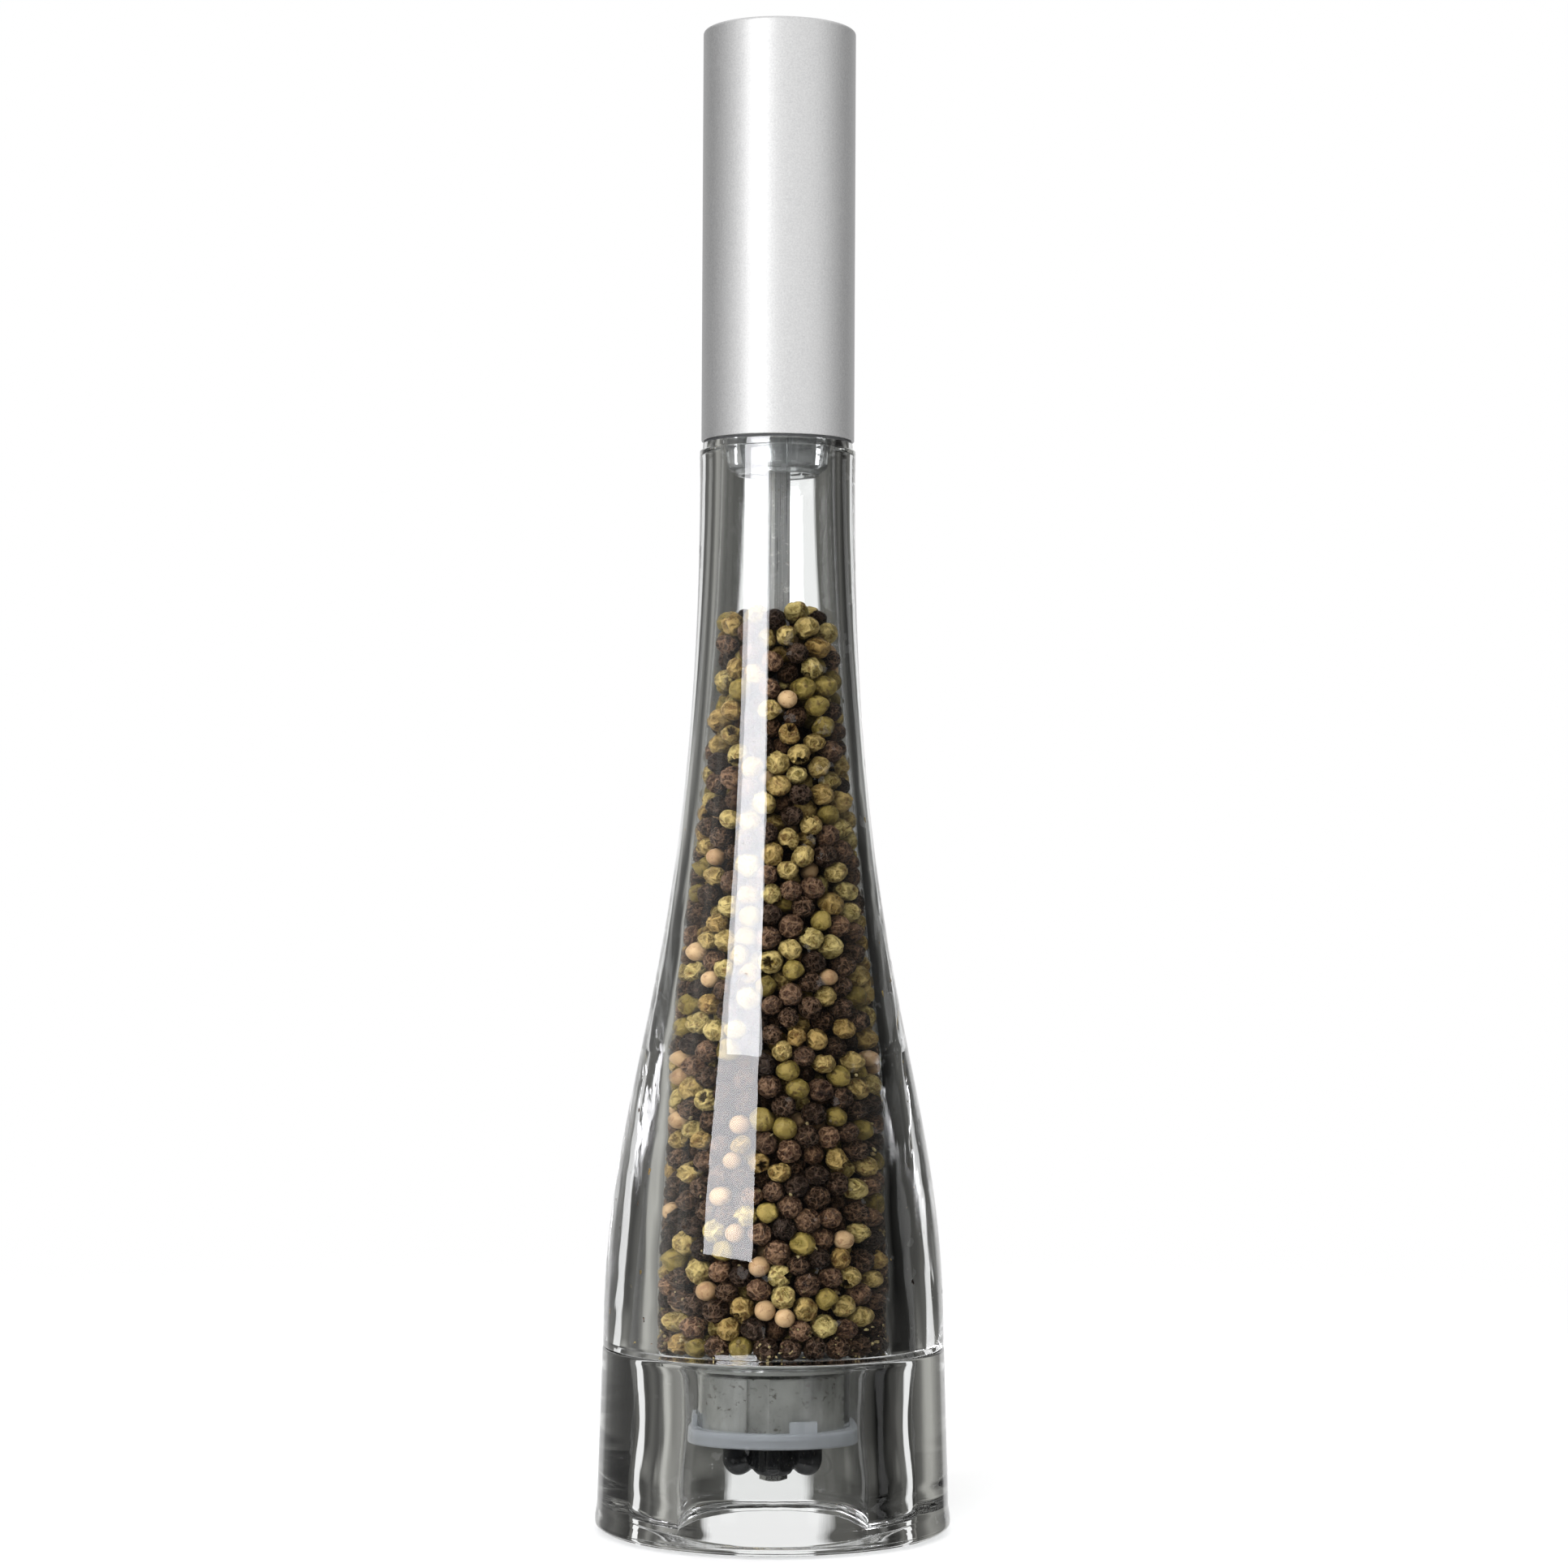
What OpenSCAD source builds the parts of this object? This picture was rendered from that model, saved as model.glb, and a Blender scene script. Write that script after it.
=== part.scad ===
// Bottle-shaped pepper mill: a clear acrylic bottle on a thick clear base, a steel grinder hung in
// the base, a square drive shaft through the peppercorns and a tall aluminium head that turns it.
// Millimetres, +Z up, origin at the centre of the resting face.

/* [Overall] */
// Height of the whole mill
mill_h = 330; // [322:1:340]
// Height of the turning head
head_h = 91.1; // [86:0.1:94]
// Height of the seam between the bottle and its base
seam_z = 39.9; // [39:0.1:40.6]

/* [Bottle] */
// Outer diameter of the neck
neck_d = 34.5; // [34.2:0.1:35.4]
// Outer diameter where the bottle meets the base
belly_d = 74.8; // [72:0.2:77.4]
// Bore of the neck at the rim
neck_bore_d = 25.6; // [25.2:0.1:26]
// Bore of the chamber at the kink, where its straight lower part begins
chamber_kink_d = 46.8; // [44:0.2:48]
// Bore of the chamber at the seam
chamber_foot_d = 52.2; // [50:0.2:54]

/* [Base] */
// Diameter of the foot
foot_d = 78; // [77.6:0.2:80]
// Upper bore of the base, around the grinder
base_bore_d = 41.6; // [40.4:0.2:43]
// Thickness of the web that carries the grinder
web_t = 2.3; // [2:0.1:2.6]

/* [Head] */
// Diameter of the aluminium sleeve
head_d = 33.8; // [33.4:0.1:34.4]
// Wall of the aluminium sleeve
sleeve_t = 1.0; // [0.8:0.1:1.1]
// Outer diameter of the crown of fingers under the head
crown_d = 23.6; // [22.8:0.2:24.2]
// Number of fingers in the crown
crown_fingers = 8; // [4:1:9]

/* [Drive] */
// Side of the square drive shaft
shaft_side = 4; // [3.6:0.1:4.2]
// Turn of the square shaft about its axis
shaft_turn = 33.7; // [0:0.1:45]
// Height of the shaft's top, inside the head
shaft_top_z = 268; // [262:1:272]

/* [Grinder] */
// Outer diameter of the steel outer burr
burr_d = 30.8; // [30.4:0.1:31]
// Number of grooves in the outer burr
outer_grooves = 18; // [12:1:24]
// Number of grooves in the inner burr
inner_grooves = 12; // [8:1:15]
// Span of the two-winged adjusting knob
knob_span = 22; // [20:0.5:23]

/* [Fill] */
// Height of the top of the peppercorns
fill_top_z = 203; // [160:1:215]

/* [Hidden] */
$fn = 96;

eps = 0.01;             // past a face, so that a cut leaves no skin
fit_gap = 0.05;         // radial clearance of a part that is seated in another
curve_steps = 36;       // straight pieces in each long curve of the bottle

clear_acrylic = [0.86, 0.9, 0.9, 0.35];
clear_plastic = [0.82, 0.84, 0.85, 0.5];
milky_plastic = [0.8, 0.83, 0.88, 0.7];
steel = [0.6, 0.6, 0.61];
satin_aluminium = [0.78, 0.78, 0.78];
white_nylon = [0.9, 0.9, 0.88];
grey_plastic = [0.45, 0.46, 0.47];

// Bottle
head_z = mill_h - head_h;
rim_z = head_z - 0.5;
rim_step = 1.6;         // height of the narrower rim above the neck's shoulder
neck_r = neck_d / 2;
belly_r = belly_d / 2;
shoulder_z = rim_z - rim_step;
flare_top_z = shoulder_z - 7;
kink_z = 103.5;         // where the chamber turns from a flare into a straight taper

// Base
base_top_r = belly_r + 0.15;
web_z = seam_z - web_t;
bore_step_z = 13.6;     // narrow ledge above the straight lower part of the bore
bore_waist = 0.9;       // how far the bore's control points pull in above the ledge
housing_r = 17.5;       // outside of the housing where it passes the web
housing_foot_r = 16.8;  // its draft brings it down to this
guide_r = 15.4;         // recess for the shaft's guide at the top of the housing
ring_top_z = 23.5;
ring_foot_z = 20.2;
ring_r = 18.8;
tab_at = -71.5;         // direction of the first latch tab
key_at = -100.6;        // direction of the first key that stops the outer burr turning
keys = 4;
key_w = 4.2;
key_depth = 0.9;

// Grinder
burr_r = burr_d / 2;
burr_foot_z = 22.1;
burr_top_z = 34.6;
throat_z = 27.8;          // narrowest place of the outer burr
throat_r = 8.6;
funnel_r = 13.4;
burr_mouth_r = 10.5;
burr_gap = 0.6;
inner_top_z = 30.8;
guide_z = 35.7;
guide_top_z = seam_z - 0.2;
bush_r = 4.1;
bush_foot_z = guide_z - 0.3;
bush_top_z = guide_top_z + 0.9;
clip_t = 0.6;
clip_slots = [bush_foot_z - clip_t - 0.1, bush_top_z + 0.1];
spring_wire = 0.55;
spring_r = 3.4;
spring_turns = 3.5;

// Shaft and knob
square_clear = 0.1;     // how much wider each square hole is than the shaft
thread_r = shaft_side / 2 - 0.05;
thread_top_z = 22;
shaft_foot_z = 11.6;
knob_top_z = 19.9;
lobe_r = 3.6;
lobe_at = knob_span / 2 - lobe_r;
hub_r = 4.4;
hub_foot_z = 12.9;
knob_plateau_z = burr_foot_z - 0.4;
insert_foot_z = 14.2;

// Head
sleeve_r = head_d / 2;
core_r = sleeve_r - sleeve_t - fit_gap;
core_wall = 1.6;
plate_z = head_z + 0.5;
plate_t = 2;
crown_foot_z = 232.3;
crown_wall = 1.6;
crown_ring_z = 231.3;   // foot of the plain ring inside the fingers
slot_at = -82.5;        // direction of the first slot of the crown
screw_at = core_r - 2.3;
socket_z = plate_z + plate_t;
socket_top_z = 262;
boss_r = 6.6;

// A cubic curve from p0 to p3 that leaves along p1 and arrives along p2.
function curve(p0, p1, p2, p3, steps) = [
    for (i = [0:steps])
        let (t = i / steps, u = 1 - t)
        u * u * u * p0 + 3 * u * u * t * p1 + 3 * u * t * t * p2 + t * t * t * p3
];

// Points on an arc about centre c, from angle a to angle b.
function arc(c, r, a, b, steps = 8) = [
    for (i = [0:steps]) let (w = a + (b - a) * i / steps) c + r * [cos(w), sin(w)]
];

// The bottle's outside, from the neck's shoulder down to the seam.
function bottle_outside() = concat(
    [[neck_r, flare_top_z + 6.6]],
    curve([neck_r - 0.1, flare_top_z], [neck_r - 0.1, flare_top_z - 112],
          [belly_r, seam_z + 60.2], [belly_r, seam_z + 0.6], curve_steps)
);

// The chamber's wall, from the kink up to the rim, grown outwards by g.
function chamber_flare(g = 0) = curve(
    [chamber_kink_d / 2 + g, kink_z], [chamber_kink_d / 2 - 4.9 + g, kink_z + 46],
    [neck_bore_d / 2 + g, rim_z - 48], [neck_bore_d / 2 + g, rim_z], curve_steps);

// A square hole or rod turned with the shaft.
module square_rod(side, z0, z1) {
    translate([0, 0, z0])
        rotate(shaft_turn)
            translate([-side / 2, -side / 2, 0])
                cube([side, side, z1 - z0]);
}

module tube(r_out, r_in, z0, z1) {
    difference() {
        translate([0, 0, z0]) cylinder(r = r_out, h = z1 - z0);
        translate([0, 0, z0 - eps]) cylinder(r = r_in, h = z1 - z0 + 2 * eps);
    }
}

module bottle() {
    color(clear_acrylic)
    rotate_extrude()
        polygon(concat(
            [[neck_bore_d / 2, rim_z], [neck_r - 0.9, rim_z], [neck_r - 0.65, rim_z - 0.25],
             [neck_r - 0.65, shoulder_z], [neck_r - 0.3, shoulder_z]],
            bottle_outside(),
            [[belly_r, seam_z + 0.2], [belly_r - 0.2, seam_z]],
            [[chamber_foot_d / 2, seam_z]],
            [for (p = chamber_flare()) if (p.y < rim_z - eps) p]
        ));
}

module base_ring() {
    foot_r = foot_d / 2;
    bore_r = base_bore_d / 2;
    color(clear_acrylic)
    rotate_extrude()
        polygon(concat(
            [[housing_r + fit_gap, seam_z], [base_top_r - 0.2, seam_z], [base_top_r, seam_z - 0.2],
             [foot_r - 0.45, 6.5], [foot_r - 0.2, 3.2]],
            arc([foot_r - 1.3, 1.9], 1.3, 10, -90, 6),
            [[foot_r - 1.3, 0.6], [foot_r - 2.2, 0]],
            [[bore_r + 1.2, 0], [bore_r + 0.4, 0.8], [bore_r + 0.4, bore_step_z]],
            curve([bore_r, bore_step_z], [bore_r - bore_waist, bore_step_z + 6],
                  [bore_r - bore_waist, bore_step_z + 11], [bore_r + 0.4, web_z - 1.6], 14),
            arc([bore_r - 0.6, web_z - 1], 1, 0, 90, 5),
            [[housing_r + fit_gap, web_z]]
        ));
}

// A tapered cup that hangs in the web by its top flange and holds the outer burr.
module grinder_housing() {
    flange_r = 20.3;
    shelf_r = 14.4;     // the shelf between the outer burr and the shaft's guide
    color(clear_plastic) {
        rotate_extrude()
            polygon([
                [guide_r, seam_z + 1], [flange_r - 0.3, seam_z + 1], [flange_r, seam_z + 0.7],
                [flange_r, seam_z], [housing_r, seam_z], [housing_r, web_z],
                [housing_foot_r, ring_top_z], [housing_foot_r, burr_foot_z],
                [burr_r + fit_gap, burr_foot_z], [burr_r + fit_gap, burr_top_z + fit_gap],
                [shelf_r, burr_top_z + fit_gap], [shelf_r, guide_z - fit_gap],
                [guide_r, guide_z - fit_gap]
            ]);
        for (i = [0:keys - 1])
            rotate(key_at + 360 / keys * i)
                translate([burr_r - key_depth, -key_w / 2, burr_foot_z])
                    cube([key_depth + 0.6, key_w, burr_top_z - burr_foot_z + 0.5]);
    }
}

// The milky ring that snaps over the housing's lower end and keeps the outer burr in.
module housing_ring() {
    tabs = 4;
    color(milky_plastic) {
        rotate_extrude()
            polygon([
                [housing_foot_r + fit_gap, ring_top_z], [ring_r - 1, ring_top_z], [ring_r, ring_top_z - 0.9],
                [ring_r, ring_foot_z + 0.8], [ring_r - 0.6, ring_foot_z], [12.6, ring_foot_z],
                [12.2, ring_foot_z + 0.4], [12.2, burr_foot_z - fit_gap],
                [housing_foot_r + fit_gap, burr_foot_z - fit_gap]
            ]);
        for (i = [0:tabs - 1])
            rotate(tab_at + 360 / tabs * i)
                intersection() {
                    tube(ring_r - 0.6, housing_foot_r + 0.35, ring_top_z - 0.4, ring_top_z + 2.4);
                    translate([0, -2.6, ring_top_z - 1]) cube([ring_r, 5.2, 4]);
                }
    }
}

// A steel ring whose grooved funnel narrows to the throat and then opens towards its foot.
module outer_burr() {
    groove = 1.5;
    color(steel)
    difference() {
        rotate_extrude()
            polygon([
                [burr_mouth_r, burr_foot_z], [burr_r - 0.4, burr_foot_z], [burr_r, burr_foot_z + 0.4],
                [burr_r, burr_top_z - 0.4], [burr_r - 0.4, burr_top_z], [funnel_r, burr_top_z],
                [throat_r, throat_z + 1], [throat_r, throat_z]
            ]);
        for (i = [0:keys - 1])
            rotate(key_at + 360 / keys * i)
                translate([burr_r - key_depth - fit_gap, -key_w / 2 - fit_gap, burr_foot_z - 1])
                    cube([3, key_w + 2 * fit_gap, burr_top_z - burr_foot_z + 2]);
        funnel_angle = atan2(funnel_r - throat_r, burr_top_z - throat_z - 1);
        for (i = [0:outer_grooves - 1])
            rotate(360 / outer_grooves * i)
                translate([throat_r, 0, throat_z + 1])
                    rotate([8, funnel_angle, 0])
                        rotate(45)
                            translate([-groove / 2, -groove / 2, -1])
                                cube([groove, groove, 12]);
    }
}

// A three-armed bridge across the housing, whose hub carries the shaft's bush.
module shaft_guide() {
    arms = 3;
    arm_w = 2.6;
    hub = bush_r + 2.2;
    color(white_nylon) {
        tube(guide_r - fit_gap, 13.5, guide_z, guide_top_z);
        difference() {
            union() {
                translate([0, 0, guide_z]) cylinder(r = hub, h = guide_top_z - guide_z);
                for (i = [0:arms - 1])
                    rotate(360 / arms * i + 30)
                        translate([0, -arm_w / 2, guide_z])
                            cube([14, arm_w, guide_top_z - guide_z - 0.6]);
            }
            translate([0, 0, guide_z - eps]) cylinder(r = bush_r + fit_gap, h = 10);
        }
    }
}

// The mass of peppercorns, as the closed shape of the space that they take.
module peppercorns() {
    wall = 0.35;
    shaft_clear = 3.4;
    bridge_r = 20.8;
    bridge_top_z = seam_z + 1.8;
    color([0.36, 0.3, 0.2])
    rotate_extrude()
        polygon(concat(
            [[bridge_r, seam_z + wall], [chamber_foot_d / 2 - wall - 0.05, seam_z + wall]],
            [for (p = chamber_flare(-wall)) if (p.y < fill_top_z - 4) p],
            [[neck_bore_d / 2 + 0.4, fill_top_z - 1], [neck_bore_d / 2 - 1, fill_top_z]],
            [[shaft_clear, fill_top_z], [shaft_clear, bridge_top_z + 1], [5, bridge_top_z]],
            [[bridge_r, bridge_top_z]]
        ));
}

// A thin washer on the bottle's rim, on which the head turns.
module slip_ring() {
    color([0.2, 0.21, 0.22])
    tube(neck_r - 0.95, neck_bore_d / 2 + 0.5, rim_z, head_z - 0.1);
}

// A square rod with a turned and threaded lower end.
module drive_shaft() {
    color(satin_aluminium)
    difference() {
        union() {
            square_rod(shaft_side, thread_top_z, shaft_top_z);
            translate([0, 0, shaft_foot_z + 0.4]) cylinder(r = thread_r, h = thread_top_z - shaft_foot_z);
            translate([0, 0, shaft_foot_z]) cylinder(r1 = thread_r - 0.4, r2 = thread_r, h = 0.4 + eps);
        }
        for (z = clip_slots)
            tube(shaft_side, shaft_side / 2 - 0.15, z - fit_gap, z + clip_t + fit_gap);
        translate([0, 0, shaft_top_z - 1.2])
            difference() {
                cylinder(r = shaft_side, h = 2);
                translate([0, 0, -eps]) cylinder(r1 = 3, r2 = 1.6, h = 2);
            }
    }
}

// A nylon bush, square inside and round outside, with a flange that rests on the guide's hub.
module guide_bush() {
    color(white_nylon)
    difference() {
        union() {
            translate([0, 0, bush_foot_z]) cylinder(r = bush_r, h = bush_top_z - bush_foot_z);
            translate([0, 0, guide_top_z + 0.1]) cylinder(r = bush_r + 1.5, h = bush_top_z - guide_top_z - 0.1);
        }
        square_rod(shaft_side + square_clear, bush_foot_z - 1, bush_top_z + 1);
    }
}

// Two E-clips in the shaft's grooves, which hold the shaft in its bush.
module shaft_clips() {
    color(steel)
    for (z = clip_slots)
        difference() {
            tube(3.9, shaft_side / 2 - 0.1, z, z + clip_t);
            rotate(shaft_turn)
                translate([0, -1.4, z - 1]) cube([6, 2.8, clip_t + 2]);
        }
}

// A round wire swept along a helix of even pitch.
module burr_spring() {
    foot = inner_top_z + spring_wire / 2 + 0.02;
    top = clip_slots[0] - spring_wire / 2 - 0.02;
    per_turn = 18;
    rings = floor(spring_turns * per_turn);
    sides = 8;
    points = [
        for (i = [0:rings])
            let (s = i / rings, w = 360 * spring_turns * s)
            for (k = [0:sides - 1])
                let (a = 360 / sides * k, r = spring_r + spring_wire / 2 * cos(a))
                [r * cos(w), r * sin(w), foot + (top - foot) * s + spring_wire / 2 * sin(a)]
    ];
    walls = [
        for (i = [0:rings - 1], k = [0:sides - 1], half = [0, 1])
            let (n = (k + 1) % sides, here = i * sides, next = here + sides)
            half == 0 ? [here + k, here + n, next + n] : [here + k, next + n, next + k]
    ];
    ends = [
        [for (k = [sides - 1:-1:0]) k],
        [for (k = [0:sides - 1]) rings * sides + k]
    ];
    color(steel) polyhedron(points, concat(walls, ends), convexity = 6);
}

// A grooved steel cone that slides on the square shaft and turns with it.
module inner_burr() {
    groove = 1.3;
    body_r = burr_mouth_r - burr_gap;
    neck = throat_r - burr_gap;
    foot = burr_foot_z + 0.2;
    color(steel)
    difference() {
        rotate_extrude()
            polygon([
                [0, foot], [body_r - 0.3, foot], [body_r, foot + 0.3], [neck, throat_z],
                [4.6, inner_top_z - 0.4], [4.2, inner_top_z], [0, inner_top_z]
            ]);
        cone_angle = atan2(body_r - neck, throat_z - foot);
        for (i = [0:inner_grooves - 1])
            rotate(360 / inner_grooves * i)
                translate([body_r, 0, foot])
                    rotate([-14, -cone_angle, 0])
                        rotate(45)
                            translate([-groove / 2, -groove / 2, -1])
                                cube([groove, groove, 9]);
        square_rod(shaft_side + square_clear, foot - 1, inner_top_z + 1);
    }
}

// The washer between the knob's insert and the inner burr.
module thrust_washer() {
    color(steel)
    tube(5.2, 3.1, knob_plateau_z + fit_gap, knob_plateau_z + 0.55);
}

// A black thumb knob: two round wings, a round hub, and a rounded rib before and behind the hub.
module adjusting_knob() {
    wing_z = knob_top_z - lobe_r;
    rib_r = 1.7;
    color([0.04, 0.04, 0.045])
    difference() {
        union() {
            for (side = [-1, 1]) {
                translate([side * lobe_at, 0, wing_z]) cylinder(r = lobe_r, h = lobe_r);
                translate([side * lobe_at, 0, wing_z]) sphere(r = lobe_r);
                translate([0, side * hub_r, wing_z - 1.2]) cylinder(r = rib_r, h = knob_top_z - wing_z + 1.2);
                translate([0, side * hub_r, wing_z - 1.2]) sphere(r = rib_r);
            }
            translate([-lobe_at, -2.1, hub_foot_z + 1.4])
                cube([2 * lobe_at, 4.2, knob_top_z - hub_foot_z - 1.4]);
            translate([0, 0, hub_foot_z + 0.8]) cylinder(r = hub_r, h = knob_top_z - hub_foot_z - 0.8);
            translate([0, 0, hub_foot_z]) cylinder(r1 = hub_r - 0.8, r2 = hub_r, h = 0.8 + eps);
            translate([0, 0, knob_top_z - eps]) cylinder(r = 5.6, h = knob_plateau_z - knob_top_z + eps);
        }
        cylinder(r = 3, h = 40);
        cylinder(r = 3.5, h = insert_foot_z - 0.2);
    }
}

// The brass thread that is moulded into the knob.
module knob_insert() {
    color([0.72, 0.56, 0.3])
    tube(3, thread_r + fit_gap, insert_foot_z, knob_plateau_z);
}

// The nut on the shaft's end that keeps the knob from running off.
module lock_nut() {
    across = 5.4;
    color(steel)
    difference() {
        translate([0, 0, shaft_foot_z + 0.3]) cylinder(r = across / sqrt(3), h = 1, $fn = 6);
        translate([0, 0, 0]) cylinder(r = thread_r + 0.01, h = 30);
    }
}

// A drawn aluminium tube, closed at its top, with a small radius on the top edge.
module head_sleeve() {
    edge = 0.8;
    color(satin_aluminium)
    rotate_extrude()
        polygon(concat(
            [[0, mill_h - sleeve_t], [0, mill_h]],
            arc([sleeve_r - edge, mill_h - edge], edge, 90, 0, 6),
            [[sleeve_r, head_z + 0.25], [sleeve_r - 0.25, head_z], [sleeve_r - sleeve_t + 0.2, head_z]],
            [[sleeve_r - sleeve_t, head_z + 0.2], [sleeve_r - sleeve_t, mill_h - sleeve_t]]
        ));
}

// A ribbed liner that stiffens the sleeve and holds the socket and the drive plug.
module head_core() {
    ribs = 6;
    top_z = mill_h - sleeve_t - fit_gap;
    color(grey_plastic)
    difference() {
        union() {
            tube(core_r, core_r - core_wall, socket_z, top_z);
            translate([0, 0, top_z - 1.6]) cylinder(r = core_r - core_wall + eps, h = 1.6);
            tube(boss_r, 5, socket_z + eps, top_z - 1.6 + eps);
            for (i = [0:ribs - 1])
                rotate(60 * i)
                    translate([boss_r - 0.6, -0.7, socket_z + 8])
                        cube([core_r - boss_r - core_wall + 1.2, 1.4, top_z - socket_z - 9]);
            for (i = [0:2])
                rotate(120 * i + 30)
                    translate([screw_at, 0, socket_z]) cylinder(r = 2.2, h = 12);
        }
        for (i = [0:2])
            rotate(120 * i + 30)
                translate([screw_at, 0, socket_z - eps]) cylinder(r = 1.05, h = 9);
    }
}

// A clear plate under the core with a crown of tapered fingers that centres the head in the neck.
module drive_plug() {
    slot_w = 1.3;
    crown_r = crown_d / 2;
    ring_out = crown_r - 2.4;
    hub_out = 4.6;
    color(clear_plastic)
    difference() {
        union() {
            translate([0, 0, plate_z]) cylinder(r = core_r, h = plate_t - fit_gap);
            rotate_extrude()
                polygon(concat(
                    [[crown_r, plate_z + eps], [crown_r, plate_z - 1.5]],
                    [[crown_r - 0.75, crown_foot_z + 1.4]],
                    arc([crown_r - 1.95, crown_foot_z + 1.3], 1.3, -10, -90, 5),
                    [[ring_out - 0.5, crown_foot_z], [ring_out - 0.5, plate_z + eps]]
                ));
            tube(ring_out, ring_out - 1.4, crown_ring_z, plate_z + eps);
            translate([0, 0, crown_foot_z + 1.6]) cylinder(r = hub_out, h = plate_z - crown_foot_z - 1.5);
            for (i = [0:2])
                rotate(120 * i)
                    translate([hub_out - 0.6, -0.8, crown_foot_z + 3])
                        cube([ring_out - hub_out, 1.6, plate_z - crown_foot_z - 2.5]);
        }
        for (i = [0:crown_fingers - 1])
            rotate(slot_at + 360 / crown_fingers * i)
                translate([ring_out + 0.1, -slot_w / 2, crown_foot_z - 1])
                    cube([4, slot_w, plate_z - crown_foot_z]);
        square_rod(shaft_side + 2 * square_clear, crown_foot_z - 1, plate_z + plate_t + 1);
        for (i = [0:2])
            rotate(120 * i + 30)
                translate([screw_at, 0, plate_z - 1]) cylinder(r = 1.3, h = plate_t + 2);
    }
}

// Three pan-head screws that hold the drive plug to the core.
module plug_screws() {
    head_t = 0.3;
    color(steel)
    for (i = [0:2])
        rotate(120 * i + 30)
            translate([screw_at, 0, plate_z]) {
                translate([0, 0, -head_t]) cylinder(r = 1.55, h = head_t);
                translate([0, 0, -eps]) cylinder(r = 1, h = 8.5);
            }
}

// The nylon socket in the core's boss that takes the square shaft.
module shaft_socket() {
    color(white_nylon)
    difference() {
        translate([0, 0, socket_z + fit_gap]) cylinder(r = 5 - fit_gap, h = socket_top_z - socket_z - fit_gap);
        square_rod(shaft_side + square_clear, socket_z - 1, socket_top_z + 1);
    }
}

// A sprung steel collar above the socket whose lips grip the shaft.
module socket_clip() {
    lip = 0.35;
    color(steel)
    difference() {
        tube(4.9, 3.2, socket_top_z + 0.1, socket_top_z + 2.4);
        rotate(shaft_turn + 90)
            translate([0, -lip * 2, socket_top_z]) cube([6, lip * 4, 4]);
    }
}

bottle();
base_ring();
grinder_housing();
housing_ring();
outer_burr();
shaft_guide();
peppercorns();
slip_ring();
drive_shaft();
guide_bush();
shaft_clips();
burr_spring();
inner_burr();
thrust_washer();
adjusting_knob();
knob_insert();
lock_nut();
head_sleeve();
head_core();
drive_plug();
plug_screws();
shaft_socket();
socket_clip();
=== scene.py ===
"""Looks for the clear bottle-shaped pepper mill: glass-clear shells, loose peppercorns, satin head."""

import math

import bmesh
import bpy
import numpy as np
from mathutils import Matrix, Vector


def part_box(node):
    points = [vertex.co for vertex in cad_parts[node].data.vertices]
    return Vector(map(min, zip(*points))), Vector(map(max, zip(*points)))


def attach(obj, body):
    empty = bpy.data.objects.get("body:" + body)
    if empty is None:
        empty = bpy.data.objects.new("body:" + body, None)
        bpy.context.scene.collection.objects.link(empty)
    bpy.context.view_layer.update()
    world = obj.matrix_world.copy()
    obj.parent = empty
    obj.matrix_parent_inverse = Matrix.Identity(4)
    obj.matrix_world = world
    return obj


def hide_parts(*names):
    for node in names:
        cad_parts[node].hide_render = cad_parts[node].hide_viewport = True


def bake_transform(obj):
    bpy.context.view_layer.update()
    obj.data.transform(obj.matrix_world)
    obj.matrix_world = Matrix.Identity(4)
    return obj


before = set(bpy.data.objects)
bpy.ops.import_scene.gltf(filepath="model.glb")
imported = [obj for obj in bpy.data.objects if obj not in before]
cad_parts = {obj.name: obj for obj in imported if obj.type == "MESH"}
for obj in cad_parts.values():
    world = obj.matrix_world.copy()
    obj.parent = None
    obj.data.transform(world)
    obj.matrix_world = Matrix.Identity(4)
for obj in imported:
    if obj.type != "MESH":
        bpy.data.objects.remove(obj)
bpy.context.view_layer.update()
MM = 0.001
SCENE = bpy.context.scene

# ---------------------------------------------------------------- sizes, in millimetres and degrees

HEAD_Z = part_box("head_sleeve")[0][2] / MM
TOP_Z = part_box("head_sleeve")[1][2] / MM
SEAM_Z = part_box("base_ring")[1][2] / MM
HEAD_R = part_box("head_sleeve")[1][0] / MM
RIM_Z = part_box("bottle")[1][2] / MM
BELLY_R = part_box("bottle")[1][0] / MM
BASE_TOP_R = BELLY_R + 0.15
FOOT_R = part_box("base_ring")[1][0] / MM
FILL_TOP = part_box("peppercorns")[1][2] / MM
NECK_R, NECK_BORE_R = 17.25, 12.8
KINK_R, KINK_Z = 23.4, 103.5    # where the chamber's wall turns from a cone into a flare
CHAMBER_FOOT_R = 26.1
BORE_R = 20.8           # of the open bay under the grinder
BORE_STEP_Z = 13.6      # where the bay's waist begins
WEB_T = 2.3             # the base's web, which carries the grinder
HOUSING_R, HOUSING_FOOT_R = 17.5, 16.8
BURR_R, GUIDE_R, RING_R = 15.4, 15.4, 18.8
BURR_FOOT_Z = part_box("outer_burr")[0][2] / MM
BURR_TOP_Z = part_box("outer_burr")[1][2] / MM
GUIDE_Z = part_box("shaft_guide")[0][2] / MM
RING_FOOT_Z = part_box("housing_ring")[0][2] / MM
RING_TOP_Z = BURR_FOOT_Z + 1.4
CROWN_FOOT_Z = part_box("drive_plug")[0][2] / MM
KEY_AT, TAB_AT, SLOT_AT = -100.6, -71.5, -82.5      # the first key, latch tab and slot, round from +X
AIR_GAP = 0.06          # between the bottle and its base
SEGMENTS = 224          # round each turned shell
FLOOR_Z = SEAM_Z + 0.05                 # the corns lie on the bottle's foot
HUB_R, HUB_Z = 20.4, SEAM_Z + 1.1       # and on the housing's flange,
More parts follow.
